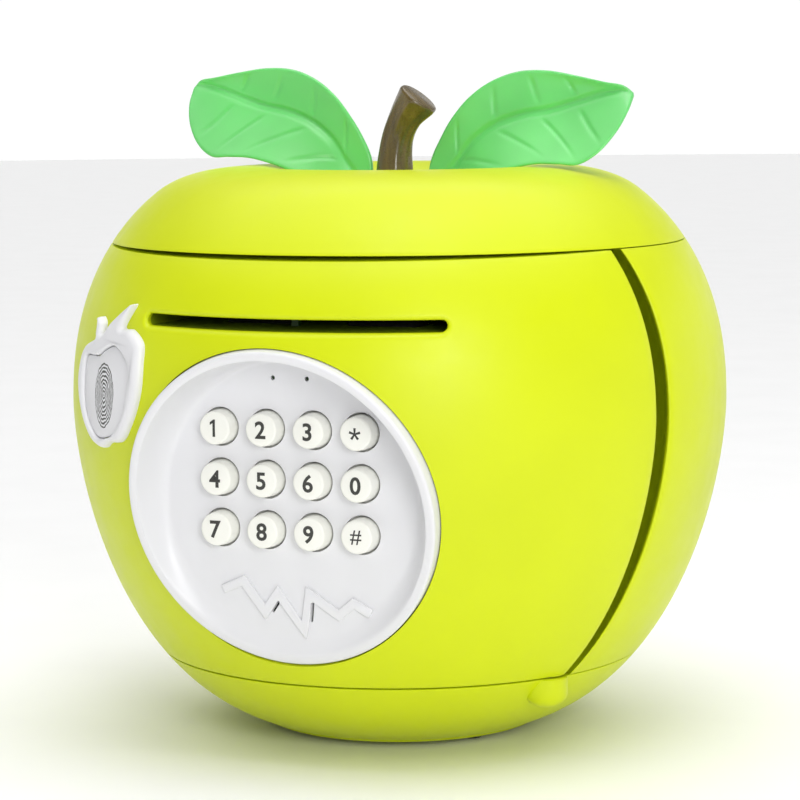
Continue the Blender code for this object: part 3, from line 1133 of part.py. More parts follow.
    start = Vector((motor_front - MOTOR_LENGTH, ROLLER_Y, PINION_Z))
    end = Vector((motor_front, ROLLER_Y, PINION_Z))
    motor = rod(start, end, MOTOR_RADIUS, 24)
    corner = Vector((MOTOR_LENGTH + 1, MOTOR_RADIUS + 1, MOTOR_FLAT))
    keep_inside(motor, box(end - corner, end + corner))
    cut(motor, rod(end - Vector((4.5, 0, 0)), end + Vector((1, 0, 0)), 1.3, 10))
    name_piece(motor, "feed_motor", "steel", pivot)


def make_lock(pivot):
    half = BOLT_SIZE / 2
    low, high = LOCK_Z - LOCK_HEIGHT / 2, LOCK_Z + LOCK_HEIGHT / 2
    front, back = DOOR_PLANE_Y + CLEARANCE, DOOR_PLANE_Y + 14.5
    case = box((LOCK_X, front, low), (LOCK_X + LOCK_LENGTH, back, high))
    bolt_end = LOCK_X + 18
    fit = CLEARANCE
    guide_end = (bolt_end + 1.5, BOLT_Y + half + fit, LOCK_Z + half + fit)
    cut(case, box((LOCK_X - 1, BOLT_Y - half - fit, LOCK_Z - half - fit), guide_end))
    name_piece(case, "lock_housing", "dark", pivot)
    bolt_pivot = make_pivot("lock_bolt_slide", (LOCK_X, BOLT_Y, LOCK_Z), pivot)
    bolt = box((LOCK_X - 1, BOLT_Y - half, LOCK_Z - half), (bolt_end, BOLT_Y + half, LOCK_Z + half))
    name_piece(bolt, "lock_bolt", "steel", bolt_pivot)
    reach = STRIKE_HEIGHT / 2
    strike_end = (STRIKE_X + STRIKE_DEPTH, DOOR_PLANE_Y + 16, LOCK_Z + reach)
    strike = box((STRIKE_X, STRIKE_FRONT_Y, LOCK_Z - reach), strike_end)
    pocket = half + 1
    pocket_end = (STRIKE_X + STRIKE_DEPTH + 1, BOLT_Y + pocket, LOCK_Z + pocket)
    pocket_x = LOCK_X - 1 - BOLT_THROW - BOLT_END_GAP
    cut(strike, box((pocket_x, BOLT_Y - pocket, LOCK_Z - pocket), pocket_end))
    name_piece(strike, "lock_strike", "steel")


def main():
    clear_scene()
    make_cap()
    make_deck()
    make_rear_shell()
    make_base()
    make_money_floor()
    make_battery_parts()
    make_feet()
    make_fasteners()
    make_stem()
    make_leaf("leaf_right", 1, 0.0)
    make_leaf("leaf_left", -1, LEFT_LEAF_LIFT)
    door = make_pivot("door_swing", (HINGE_X, DOOR_PLANE_Y, DOOR_BOTTOM_Z))
    make_door_panel(door)
    make_door_back_cover(door)
    make_keypad_plate(door)
    make_keys(door)
    make_electronics(door)
    make_badge(door)
    make_feeder(door)
    make_lock(door)


main()
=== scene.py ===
"""Looks of the apple savings bank, laid out as a Blender add-on and run as a script.

Lengths are metres, and MM turns millimetres into them. The bank stands on Z = 0 round the Z axis.
Its front faces -Y, and +X is on the viewer's right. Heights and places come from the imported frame.
"""

import json
import math
from contextlib import contextmanager

import bpy
from bpy.props import FloatProperty, FloatVectorProperty, PointerProperty
from mathutils import Matrix, Vector


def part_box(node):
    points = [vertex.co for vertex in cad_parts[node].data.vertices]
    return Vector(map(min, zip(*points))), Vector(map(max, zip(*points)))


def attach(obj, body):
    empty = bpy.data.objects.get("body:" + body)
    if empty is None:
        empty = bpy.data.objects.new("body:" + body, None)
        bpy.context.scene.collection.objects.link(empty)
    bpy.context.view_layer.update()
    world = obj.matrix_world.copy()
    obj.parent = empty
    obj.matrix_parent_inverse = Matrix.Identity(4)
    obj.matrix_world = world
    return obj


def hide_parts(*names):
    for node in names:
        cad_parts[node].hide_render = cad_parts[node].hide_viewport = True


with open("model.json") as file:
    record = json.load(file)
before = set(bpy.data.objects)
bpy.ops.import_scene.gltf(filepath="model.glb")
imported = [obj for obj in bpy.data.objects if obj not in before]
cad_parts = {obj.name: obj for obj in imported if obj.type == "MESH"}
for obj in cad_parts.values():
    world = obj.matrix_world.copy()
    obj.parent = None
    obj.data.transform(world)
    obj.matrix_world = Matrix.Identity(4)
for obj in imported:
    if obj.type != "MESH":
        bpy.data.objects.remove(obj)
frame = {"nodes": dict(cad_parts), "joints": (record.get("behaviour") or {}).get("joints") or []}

bl_info = {
    "name": "Apple savings bank",
    "version": (1, 0, 0),
    "blender": (4, 5, 0),
    "location": "3D View > Sidebar > Apple Bank",
    "description": "Builds the looks of the keypad savings bank round its packed frame",
    "category": "Object",
}

MM = 0.001
HINGE = next(Vector(joint["pos_m"]) for joint in frame["joints"] if joint["name"] == "door_swing")
DOOR_PLANE_Y = HINGE.y
(TOP_SEAM, BODY_TOP), (UNDERSIDE, BASE_SEAM), (SHELL_LOW, SHELL_TOP), (DOOR_LOW, DOOR_TOP) = (
    [corner.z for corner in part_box(name)] for name in ("top_cap", "base_shell", "rear_shell", "door_panel")
)
FRONT = Matrix(((1, 0, 0, 0), (0, 0, -1, 0), (0, 1, 0, 0), (0, 0, 0, 1)))

# Outline: two superellipse quarters that meet at the widest height.
EQUATOR = 0.588 * BODY_TOP
UPPER_REACH, UPPER_FALL, UPPER_ROUND = 0.4698 * BODY_TOP, 2.2, 2.882
LOWER_REACH, LOWER_FALL, LOWER_ROUND = EQUATOR + 1.97 * MM, 1.686, 3.083
CREST_RADIUS, SHOULDER_DROP, DIMPLE_DEPTH = 43 * MM, 7 * MM, 13 * MM
ROUND_STEPS = 160

# Openings behind and below: coin slot, screw holes, foot holes and the battery cover's opening.
COIN_Y, COIN_HALF_LENGTH, COIN_HALF_HEIGHT = 57 * MM, 14 * MM, 1.6 * MM
SCREW_CIRCLE, SCREW_ANGLES, SCREW_HOLE = 58 * MM, (180, 125, -125), 3.4 * MM
FOOT_HOLE = 3.3 * MM
UNDERSIDE_ROUND, BASE_ROUND = 1.4 * MM, 0.4 * MM
COVER_FIT, COVER_TAB, COVER_SEAT = 0.3 * MM, 4.3 * MM, 3.7 * MM

# Door edges, hinge lobes and the cove that the door's right edge swings through.
DOOR_TOP_SLOPE = 1.1 * MM
DOOR_BEND = 10 * MM
LOBE_RADIUS, LOBE_LENGTH, PIN_HOLE = 5 * MM, 6.1 * MM, 2.3 * MM
BOSS_RADIUS, BOSS_LENGTH = 6 * MM, 8.9 * MM
COVE_GAP, COVE_WALL, COVE_SIDE_GAP = 1.2 * MM, 2 * MM, 0.8 * MM
LIP_SHARE, LIP_OFFSET, LIP_ROUND = 0.235, 1.3 * MM, 1.5 * MM

# Dish: its rim's circle is tilted, and its floor is upright above a crease.
DISH_Z, DISH_TILT, DISH_RIM_Y = 73.8 * MM, math.radians(13), -85.03 * MM
DISH_DEPTH, RIM_WIDTH, WALL_RUN, WALL_CURVE = 8.5 * MM, 2.6 * MM, 6 * MM, 2.2
SKIRT_DEPTH = 9.5 * MM
PLATE_THICKNESS = 1.1 * MM
CREASE_Z, FLOOR_LEAN = 58.8 * MM, math.radians(4.3)
DISH_FLOOR_Y = DISH_RIM_Y + DISH_DEPTH
LAMP_X, LAMP_Z, LAMP_RADIUS = 5 * MM, 108.6 * MM, 0.65 * MM

# Keys and what is printed on them.
KEY_PITCH, KEYPAD_Z, KEY_FIT = 13.78 * MM, 81.1 * MM, 0.45 * MM
KEY_ROWS = (("1", "2", "3", "star"), ("4", "5", "6", "0"), ("7", "8", "9", "hash"))
KEY_SIGNS = {"hash": "#"}
PRINT_SINK, PRINT_RELIEF = 0.1 * MM, 0.12 * MM

# Zigzag ribbon on the lower floor, as (x, z) corners in millimetres, and the speaker slits beside it.
RIBBON = (
    (-20.8, 50.2), (-14.6, 52.9), (-8.4, 44.6), (-4.4, 50.0), (2.9, 40.2),
    (4.9, 50.4), (13.4, 45.0), (17.8, 48.6), (22.8, 46.0),
)
RIBBON_WIDTH, RIBBON_PROUD = 2.6, 0.9
SLITS = (((-6.4, 44.6), (-4.1, 47.9)), ((5.1, 42.6), (5.7, 48.0)))
SLIT_WIDTH = 0.7

# Note slot.
SLOT_X, SLOT_Z = 3 * MM, TOP_SEAM - 17.95 * MM
SLOT_LIP = 1.5 * MM

# Fingerprint badge and pad, as (x, y) corners in millimetres on the badge's own plane.
BADGE_TURN, BADGE_Z = math.radians(-35.2), TOP_SEAM - 38.9 * MM
BADGE_PROUD, PAD_RECESS, PAD_FIT = 2.4, 1.0, 0.25
BADGE_WIDEN = 1.17
BADGE_ROUND, BADGE_BACK = 2.0, -8.0
PAD_ROUND, PAD_BACK = 0.35, -6.3
BADGE_CORNERS = (
    (-7.3, 20.3), (-4.8, 18.9), (-3.6, 15.6), (0.2, 19.8), (8.2, 24.8), (5.6, 18.4), (9.7, 17.8),
    (14.2, 14.5), (14.9, 9.2), (14.9, 2.5), (13.3, -3.6), (10.7, -8.7), (7.4, -12.6), (2.3, -13.6),
    (-0.5, -15.2), (-3.5, -15.3), (-7.5, -13.6), (-11.6, -8.8), (-14.6, -3.1), (-15.9, 2.8),
    (-14.9, 8.9), (-12.6, 12.2), (-9.1, 13.7), (-6.8, 14.8), (-6.9, 17.5),
)
PAD_CORNERS = (
    (-11.1, 8.1), (-9.6, 9.6), (-4.0, 9.8), (-1.0, 11.4), (3.1, 13.0), (6.6, 12.1), (10.2, 9.0),
    (11.2, 5.2), (9.7, -3.9), (6.0, -9.6), (1.6, -12.0), (-4.5, -12.1), (-10.1, -5.7), (-11.4, 1.7),
)
PRINT_CENTRE, PRINT_HALF = (-0.8, -0.8), (5.5, 9.0)

# Stem and leaf, as (x, z) points in millimetres from base to tip.
STEM_PATH = ((-1.1, 150.5), (-1.1, 160.5), (-0.7, 167.0), (0.4, 172.3), (3.0, 177.6), (7.0, 182.6))
STEM_RADII = (5.6, 5.3, 4.7, 4.5, 4.9, 6.3)
LEAF_UPPER = (
    (8.6, 158.0), (9.6, 164.8), (12.6, 171.0), (16.4, 176.8), (21.6, 182.6), (28.2, 187.1), (36.0, 189.7),
    (44.6, 189.9), (53.4, 188.4), (61.6, 186.6), (66.8, 185.6), (69.6, 183.4),
)
LEAF_RIB = (
    (8.6, 156.0), (12.6, 158.8), (17.4, 163.4), (22.6, 170.0), (29.4, 174.8), (37.4, 177.6), (45.6, 179.0),
    (52.4, 180.9), (58.8, 182.8), (63.8, 183.9), (67.0, 184.0), (69.6, 183.2),
)
LEAF_LOWER = (
    (8.6, 154.0), (14.4, 154.9), (21.0, 156.4), (28.6, 159.2), (36.8, 162.0), (44.6, 163.6), (51.6, 163.6),
    (57.4, 163.5), (62.8, 166.8), (67.0, 172.4), (69.2, 178.0), (69.8, 182.4),
)
LEAF_Y, LEAF_LEAN, LEAF_CUP, LEAF_THICKNESS = (1.0, 6.0), 0.34, 5.0, 1.8
UPPER_VEINS = ((0.20, 0.10), (0.37, 0.09), (0.52, 0.06), (0.66, 0.03))
LOWER_VEINS = ((0.20, 0.17), (0.35, 0.17), (0.50, 0.15), (0.65, 0.11))
VEIN_DEPTH, VEIN_WIDTH = 0.5, 0.5
LEAF_LENGTH, LEAF_ROUND, MIDRIB_RISE, MIDRIB_WIDTH = 68.0, 1.2, 1.3, 1.1
VEIN_START, VEIN_END = 0.12, 0.9
LEFT_LEAF_LIFT = math.radians(2.4)
STEM_END = 0.955

# Studio sky: (sine of the elevation, level) from the pale horizon up to the overhead softbox.
SKY = ((0.0, 0.46), (0.18, 0.46), (0.3, 0.13), (0.62, 0.13), (0.8, 1.0))
SKY_STRENGTH = 2.2
FRONT_SKY = 0.55


def length(name, description, default, least):
    return FloatProperty(name=name, description=description, default=default, min=least, unit="LENGTH")


class BankSizes(bpy.types.PropertyGroup):
    """Sizes of the bank that its looks are built to."""

    radius: length("Body radius", "The apple's radius at its widest height", 0.095, 0.02)
    wall: length("Wall", "Thickness of the moulded shells", 0.0024, 0.0005)
    seam_round: length("Seam rounding", "Rounding of the shells' edges along their seams", 0.0005, 0.0001)
    dish_radius: length("Dish radius", "Outer radius of the keypad dish's rim", 0.0446, 0.01)
    key_radius: length("Key radius", "Radius of each round key", 0.0049, 0.001)
    key_proud: length("Key height", "How far a key stands out of the dish floor", 0.0044, 0.0005)
    digit_height: length("Digit height", "Height of the printed digits", 0.0047, 0.001)
    slot_length: length("Slot length", "Length of the note slot", 0.086, 0.01)
    slot_height: length("Slot height", "Height of the note slot", 0.0033, 0.001)


def colour(name, description, default):
    return FloatVectorProperty(
        name=name, description=description, default=default, size=4, min=0.0, max=1.0, subtype="COLOR",
    )


class BankColours(bpy.types.PropertyGroup):
    """Colours of the bank's finishes."""

    shell: colour("Shell", "Moulded lime shells", (0.61, 0.70, 0.004, 1))
    plate: colour("Plate", "White dish and badge", (0.74, 0.74, 0.76, 1))
    key: colour("Keys", "Cream key caps", (0.86, 0.86, 0.80, 1))
    print: colour("Print", "Digits and fingerprint", (0.035, 0.035, 0.03, 1))
    leaf: colour("Leaves", "Moulded leaves", (0.15, 0.63, 0.17, 1))
    bark: colour("Stem", "Moulded stem", (0.115, 0.078, 0.022, 1))
    # Darker copy of the lime shell colour: painted shade, so the note guide reads as the shaded inside of
    # the slot.
    guide: colour("Note guide", "Green note guide behind the slot", (0.30, 0.40, 0.006, 1))
    dark: colour("Dark plastic", "Sensor, lock, lamp holder and battery box", (0.012, 0.045, 0.006, 1))


def sizes():
    return bpy.context.scene.bank_sizes


def colours():
    return bpy.context.scene.bank_colours


# ---- Shape rules ----


def outline_radius(z):
    """The apple's outer radius at a height."""
    if z >= EQUATOR:
        fall = ((z - EQUATOR) / UPPER_REACH) ** UPPER_FALL
        return sizes().radius * (1 - fall) ** (1 / UPPER_ROUND)
    fall = ((EQUATOR - z) / LOWER_REACH) ** LOWER_FALL
    return sizes().radius * (1 - fall) ** (1 / LOWER_ROUND)


def outline_slope(z):
    """How fast the outer radius grows with height."""
    step = 0.1 * MM
    return (outline_radius(z + step) - outline_radius(z - step)) / (2 * step)


def skin_radius(z, depth):
    """The radius of the surface that lies depth inside the outline, measured square to it."""
    return outline_radius(z) - depth * math.hypot(1, outline_slope(z))


def polar(radius, angle, z=0.0):
    """A point at a radius and an angle, which runs from -Y towards +X."""
    return Vector((radius * math.sin(angle), -radius * math.cos(angle), z))


def spread(start, end, count):
    """Evenly spaced values from start to end, both included."""
    return [start + (end - start) * i / count for i in range(count + 1)]


def quarter(count, width, height):
    """A quarter turn from (0, 0) to (width, height), level where it starts, without its start."""
    return [(width * math.sin(a), height * (1 - math.cos(a))) for a in spread(0, math.pi / 2, count)[1:]]


def between(stops, gaps):
    """Values through the stops, spaced by about each stretch's gap."""
    values = [stops[0]]
    for start, end, gap in zip(stops, stops[1:], gaps):
        values += spread(start, end, max(1, round(abs(end - start) / gap)))[1:]
    return values


def smooth_path(points, share):
    """A point at a share of the way along a smooth curve through the points."""
    place = share * (len(points) - 1)
    i = min(int(place), len(points) - 2)
    t = place - i
    b, c = Vector(points[i]), Vector(points[i + 1])
    a = Vector(points[i - 1]) if i > 0 else 2 * b - c
    d = Vector(points[i + 2]) if i + 2 < len(points) else 2 * c - b
    bend = 2 * a - 5 * b + 4 * c - d
    twist = 3 * b - a - 3 * c + d
    return b + 0.5 * t * (c - a + t * (bend + t * twist))


def smooth_loop(corners, per_corner):
    """A closed smooth curve through the corners."""
    ring = [*corners[-2:], *corners, *corners[:2]]
    count = len(corners)
    return [smooth_path(ring, (2 + i / per_corner) / (len(ring) - 1)) for i in range(count * per_corner)]


def grown(loop, distances):
    """A closed outline moved outwards, square to its neighbours' chord, by a distance at each point."""
    turn = sum(a.x * b.y - b.x * a.y for a, b in zip(loop, loop[1:] + loop[:1]))
    side = 1 if turn > 0 else -1
    moved = []
    for i, (point, distance) in enumerate(zip(loop, distances)):
        along = (loop[(i + 1) % len(loop)] - loop[i - 1]).normalized()
        moved.append(point + distance * side * Vector((along.y, -along.x)))
    return moved


def clear_reach(loop, most):
    """For each point of a closed outline, how far it can move inwards without crossing the far side."""
    count = len(loop)
    inward = grown(loop, [-1.0] * count)
    reaches = []
    for i, (point, target) in enumerate(zip(loop, inward)):
        ray = target - point
        reach = most
        for k in range(count):
            a, b = loop[k], loop[(k + 1) % count]
            side = b - a
            cross = ray.x * side.y - ray.y * side.x
            apart = min((k - i) % count, (i - k) % count)
            if apart < 2 or abs(cross) < 1e-9:
                continue
            gap = a - point
            along = (gap.x * side.y - gap.y * side.x) / cross
            across = (gap.x * ray.y - gap.y * ray.x) / cross
            if along > 0 and 0 <= across <= 1:
                reach = min(reach, 0.42 * along)
        reaches.append(reach)
    for _ in range(6):
        beside = [(reaches[i - 1] + reaches[(i + 1) % count]) / 2 for i in range(count)]
        reaches = [min(own, mean + 0.04) for own, mean in zip(reaches, beside)]
    return reaches


# ---- Modelling tools ----


def begin():
    """Leaves edit mode with nothing selected."""
    if bpy.context.mode != "OBJECT":
        bpy.ops.object.mode_set(mode="OBJECT")
    bpy.ops.object.select_all(action="DESELECT")


def activate(obj):
    begin()
    obj.select_set(True)
    bpy.context.view_layer.objects.active = obj
    return obj


@contextmanager
def editing(obj):
    """Holds a mesh in edit mode, with all of it selected at first."""
    activate(obj)
    bpy.ops.object.mode_set(mode="EDIT")
    bpy.ops.mesh.select_all(action="SELECT")
    yield
    bpy.ops.object.mode_set(mode="OBJECT")


def tidy_faces(obj):
    """Merges points that coincide and points the faces outwards."""
    with editing(obj):
        bpy.ops.mesh.remove_doubles(threshold=0.002 * MM)
        bpy.ops.mesh.normals_make_consistent(inside=False)
    return obj


def wrapped_grid(columns, rows, place, slab=False):
    """A flat grid, or a slab of one, whose points are then placed by column, row and side."""
    begin()
    across, up = len(columns) - 1, len(rows) - 1
    bpy.ops.mesh.primitive_grid_add(x_subdivisions=across, y_subdivisions=up, size=2)
    obj = bpy.context.object
    if slab:
        with editing(obj):
            bpy.ops.mesh.extrude_region_move(TRANSFORM_OT_translate={"value": (0, 0, 1)})
    for vertex in obj.data.vertices:
        i = round((vertex.co.x + 1) / 2 * across)
        j = round((vertex.co.y + 1) / 2 * up)
        vertex.co = place(columns[i], rows[j], vertex.co.z)
    return tidy_faces(obj)


def fill_holes(obj):
    """Closes each open edge loop with one face."""
    with editing(obj):
        bpy.ops.mesh.fill_holes(sides=0)
        bpy.ops.mesh.select_all(action="SELECT")
        bpy.ops.mesh.normals_make_consistent(inside=False)
    return obj


def spun(profile, count, place=None):
    """A solid turned round Z from a closed profile of (radius, height) points."""
    begin()
    bpy.ops.mesh.primitive_circle_add(vertices=len(profile))
    obj = bpy.context.object
    for vertex, (radius, height) in zip(obj.data.vertices, profile):
        vertex.co = (radius, 0, height)
    for edge in obj.data.edges:
        ends = [obj.data.vertices[i].co for i in edge.vertices]
        edge.select = all(abs(end.x) < 0.001 * MM for end in ends)
    for vertex in obj.data.vertices:
        vertex.select = False
    bpy.ops.object.mode_set(mode="EDIT")
    bpy.ops.mesh.select_mode(type="EDGE")
    bpy.ops.mesh.delete(type="EDGE")
    bpy.ops.mesh.select_mode(type="VERT")
    bpy.ops.mesh.select_all(action="SELECT")
    bpy.ops.mesh.spin(steps=count, angle=math.tau, center=(0, 0, 0), axis=(0, 0, 1))
    bpy.ops.object.mode_set(mode="OBJECT")
    tidy_faces(obj)
    if place:
        obj.data.transform(place)
    return obj


def lofted(loops):
    """A closed solid in millimetres through stacked loops that have equally many points."""
    count = len(loops[0])

    def place(column, row, side):
        return loops[row][column % count] * MM

    solid = fill_holes(wrapped_grid(range(count + 1), range(len(loops)), place))
    solid.data.transform(Matrix.Scale(1 / MM, 4))
    return solid


def extruded(outline, low, high, place=None):
    """A solid with the outline as its section, between two heights."""
    begin()
    bpy.ops.mesh.primitive_circle_add(vertices=len(outline), fill_type="NGON")
    obj = bpy.context.object
    for vertex, point in zip(obj.data.vertices, outline):
        vertex.co = (point[0], point[1], low)
    with editing(obj):
        bpy.ops.mesh.extrude_region_move(TRANSFORM_OT_translate={"value": (0, 0, high - low)})
        bpy.ops.mesh.select_all(action="SELECT")
        bpy.ops.mesh.normals_make_consistent(inside=False)
    if place:
        obj.data.transform(place)
    return obj


def block(low, high):
    """A box between two corners."""
    outline = ((low[0], low[1]), (high[0], low[1]), (high[0], high[1]), (low[0], high[1]))
    return extruded(outline, low[2], high[2])


def post(start, end, radius, segments=32):
    """A cylinder between two points."""
    start, end = Vector(start), Vector(end)
    outline = [(radius * math.cos(a), radius * math.sin(a)) for a in spread(0, math.tau, segments)[:-1]]
    turn = (end - start).to_track_quat("Z", "Y").to_matrix().to_4x4()
    return extruded(outline, 0, (end - start).length, Matrix.Translation(start) @ turn)


def apply_modifier(obj, kind, **settings):
    """Adds a modifier with its settings and applies it."""
    modifier = obj.modifiers.new(kind.title(), kind)
    for setting, value in settings.items():
        setattr(modifier, setting, value)
    activate(obj)
    bpy.ops.object.modifier_apply(modifier=modifier.name)
    return obj


def round_edges(obj, width, degrees=50, segments=2):
    return apply_modifier(
        obj, "BEVEL", width=width, segments=segments, limit_method="ANGLE",
        angle_limit=math.radians(degrees), use_clamp_overlap=True,
    )


def join(*objects):
    """Puts several meshes into the first one, as they are."""
    activate(objects[0])
    for other in objects[1:]:
        other.select_set(True)
    bpy.ops.object.join()
    return objects[0]


def combine(obj, operation, *others):
    """Cuts others from obj, or adds them to it."""
    for other in others:
        apply_modifier(obj, "BOOLEAN", operation=operation, object=other, solver="EXACT")
        bpy.data.objects.remove(other)
    return obj


def finish_piece(obj, name, body, material, replaced, degrees=35):
    """Names a piece, gives it its finish and lets it ride on its body in place of its CAD nodes."""
    obj.name = name
    obj.data.name = name
    activate(obj)
    bpy.ops.object.shade_smooth_by_angle(angle=math.radians(degrees))
    if material:
        obj.data.materials.clear()
        obj.data.materials.append(material)
    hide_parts(*replaced)
    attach(obj, body)


# ---- Materials ----


def add_node(tree, kind, inputs=None, **settings):
    """A new node with its settings, and its sockets' values by name."""
    node = tree.nodes.new(kind)
    for setting, value in settings.items():
        setattr(node, setting, value)
    for socket, value in (inputs or {}).items():
        node.inputs[socket].default_value = value
    return node


def add_ramp(tree, factor, stops):
    """A colour ramp of (position, colour) stops."""
    node = add_node(tree, "ShaderNodeValToRGB")
    elements = node.color_ramp.elements
    while len(elements) < len(stops):
        elements.new(0.5)
    for element, (position, shade) in zip(elements, stops):
        element.position = position
        element.color = shade
    tree.links.new(factor, node.inputs["Fac"])
    return node.outputs["Color"]


class Finish:
    """A node material whose patterns read the piece's own coordinates."""

    def __init__(self, name, **settings):
        self.material = bpy.data.materials.new(name)
        self.material.use_nodes = True
        self.tree = self.material.node_tree
        self.shader = self.tree.nodes["Principled BSDF"]
        self.coordinates = self.node("ShaderNodeTexCoord").outputs["Object"]
        for socket, value in settings.items():
            self.shader.inputs[socket.replace("_", " ")].default_value = value

    def node(self, kind, inputs=None, **settings):
        return add_node(self.tree, kind, inputs, **settings)

    def link(self, output, target):
        self.tree.links.new(output, target)

    def noise(self, scale, detail=2.0, stretch=None, roughness=0.5):
        """Noise with scale cells to the metre, drawn out by stretch along each axis."""
        texture = self.node("ShaderNodeTexNoise", {"Scale": scale, "Detail": detail, "Roughness": roughness})
        vector = self.coordinates
        if stretch:
            mapping = self.node("ShaderNodeMapping", {"Scale": stretch})
            self.link(vector, mapping.inputs["Vector"])
            vector = mapping.outputs["Vector"]
        self.link(vector, texture.inputs["Vector"])
        return texture.outputs["Fac"]

    def tint(self, factor, *stops):
        """Colours the surface by a ramp."""
        self.link(add_ramp(self.tree, factor, stops), self.shader.inputs["Base Color"])

    def spread_roughness(self, factor, low, high):
        limits = {"From Min": 0.3, "From Max": 0.7, "To Min": low, "To Max": high}
        span = self.node("ShaderNodeMapRange", limits)
        self.link(factor, span.inputs["Value"])
        self.link(span.outputs["Result"], self.shader.inputs["Roughness"])

    def bump(self, height, distance):
        """A bump of the given depth in metres, on top of those before it."""
        bump = self.node("ShaderNodeBump", {"Strength": 1.0, "Distance": distance})
        self.link(height, bump.inputs["Height"])
        last = self.shader.inputs["Normal"]
        if last.is_linked:
            self.link(last.links[0].from_socket, bump.inputs["Normal"])
        self.link(bump.outputs["Normal"], last)


def shade(tint, factor):
    return (*(min(1.0, c * factor) for c in tint[:3]), 1)


def moulded(name, tint, rough, vary=0.03, **settings):
    """Moulded plastic: slow drift in colour, fine surface grain and uneven gloss."""
    finish = Finish(name, **settings)
    finish.tint(finish.noise(22, 2), (0.3, shade(tint, 1 - vary)), (0.7, shade(tint, 1 + vary)))
    finish.spread_roughness(finish.noise(160, 3), *rough)
    finish.bump(finish.noise(2600, 2), 0.006 * MM)
    return finish


def make_finishes():
    """Every material of the bank, by name."""
    tints = colours()
    made = {
        "shell": moulded("lime_plastic", tints.shell, (0.36, 0.44), Specular_IOR_Level=0.3,
                         Subsurface_Weight=0.12, Subsurface_Radius=(0.004, 0.004, 0.0006)),
        "plate": moulded("white_plastic", tints.plate, (0.3, 0.4), 0.012),
        "key": moulded("cream_plastic", tints.key, (0.34, 0.44), 0.015),
        "print": moulded("printed_ink", tints.print, (0.4, 0.5), 0.2),
        "dark": moulded("dark_plastic", tints.dark, (0.4, 0.55), 0.1),
        # Darkened lime for the note guide: painted shade for the inside of the note slot.
        "guide": moulded("guide_lime_painted_shade", tints.guide, (0.4, 0.55), 0.05),
        "nylon": moulded("gear_nylon", (0.72, 0.70, 0.62, 1), (0.4, 0.5)),
        "sleeve": moulded("cell_sleeve", (0.07, 0.09, 0.14, 1), (0.2, 0.3), 0.1),
        "leaf": leaf_finish(tints.leaf),
        "bark": bark_finish(tints.bark),
        "pad": pad_finish(tints.plate, tints.print),
        "rubber": rubber_finish(),
        "steel": steel_finish(),
        "board": board_finish(),
    }
    return {key: finish.material for key, finish in made.items()}


def leaf_finish(tint):
    """Slightly translucent green plastic, deeper in some places than others."""
    finish = Finish(
        "leaf_plastic", Subsurface_Weight=0.35, Subsurface_Radius=(0.0015, 0.005, 0.002),
        Coat_Weight=0.2, Coat_Roughness=0.2,
    )
    stops = (0.3, shade(tint, 0.86)), (0.5, shade(tint, 1.0)), (0.72, shade(tint, 1.14))
    finish.tint(finish.noise(34, 2), *stops)
    finish.spread_roughness(finish.noise(120, 3), 0.28, 0.38)
    finish.bump(finish.noise(2200, 2), 0.008 * MM)
    return finish


def bark_finish(tint):
    """Glossy brown plastic with a drawn-out grain."""
    finish = Finish("bark_plastic", Coat_Weight=0.4, Coat_Roughness=0.12)
    streaks = finish.noise(300, 5, (1, 1, 0.12), 0.6)
    finish.tint(streaks, (0.32, shade(tint, 0.55)), (0.52, tint), (0.75, shade(tint, 1.5)))
    finish.spread_roughness(finish.noise(500, 3), 0.22, 0.36)
    finish.bump(streaks, 0.12 * MM)
    finish.bump(finish.noise(2400, 2), 0.01 * MM)
    return finish


def pad_finish(base, ink):
    """White plastic with ridges printed inside an oval, in the badge's own plane."""
    finish = moulded("pad_print", base, (0.3, 0.4), 0.012)
    out = polar(outline_radius(BADGE_Z), BADGE_TURN, BADGE_Z)
    place = Matrix.Translation(out) @ Matrix.Rotation(BADGE_TURN, 4, "Z") @ FRONT
    oval = {
        "Location": place @ Vector((PRINT_CENTRE[0] * MM, PRINT_CENTRE[1] * MM, 0)),
        "Rotation": place.to_euler(),
        "Scale": (PRINT_HALF[0] * MM, PRINT_HALF[1] * MM, MM),
    }
    mapping = finish.node("ShaderNodeMapping", oval, vector_type="TEXTURE")
    finish.link(finish.coordinates, mapping.inputs["Vector"])
    flat = finish.node("ShaderNodeVectorMath", {1: (1, 1, 0)}, operation="MULTIPLY")
    finish.link(mapping.outputs["Vector"], flat.inputs[0])
    waves = {"Scale": 2.6, "Distortion": 5.0, "Detail": 2.0, "Detail Scale": 1.1}
    ridges = finish.node("ShaderNodeTexWave", waves, wave_type="RINGS", rings_direction="Z")
    finish.link(flat.outputs["Vector"], ridges.inputs["Vector"])
    span = finish.node("ShaderNodeVectorMath", operation="LENGTH")
    finish.link(flat.outputs["Vector"], span.inputs[0])
    inside = finish.node("ShaderNodeMath", {1: 1.0}, operation="LESS_THAN")
    finish.link(span.outputs["Value"], inside.inputs[0])
    inked = add_ramp(finish.tree, ridges.outputs["Fac"], ((0.42, (1, 1, 1, 1)), (0.55, (0, 0, 0, 1))))
    masked = finish.node("ShaderNodeMath", operation="MULTIPLY")
    finish.link(inked, masked.inputs[0])
    finish.link(inside.outputs["Value"], masked.inputs[1])
    mix = finish.node("ShaderNodeMix", data_type="RGBA")
    mix.inputs["B"].default_value = ink
    below = finish.shader.inputs["Base Color"].links[0].from_socket
    finish.link(masked.outputs["Value"], mix.inputs["Factor"])
    finish.link(below, mix.inputs["A"])
    finish.link(mix.outputs["Result"], finish.shader.inputs["Base Color"])
    return finish


def rubber_finish():
    finish = Finish("black_rubber")
    mottle = finish.noise(900, 4)
    finish.tint(mottle, (0.3, (0.02, 0.02, 0.02, 1)), (0.7, (0.045, 0.045, 0.045, 1)))
    finish.spread_roughness(mottle, 0.7, 0.85)
    finish.bump(finish.noise(3500, 3), 0.03 * MM)
    return finish


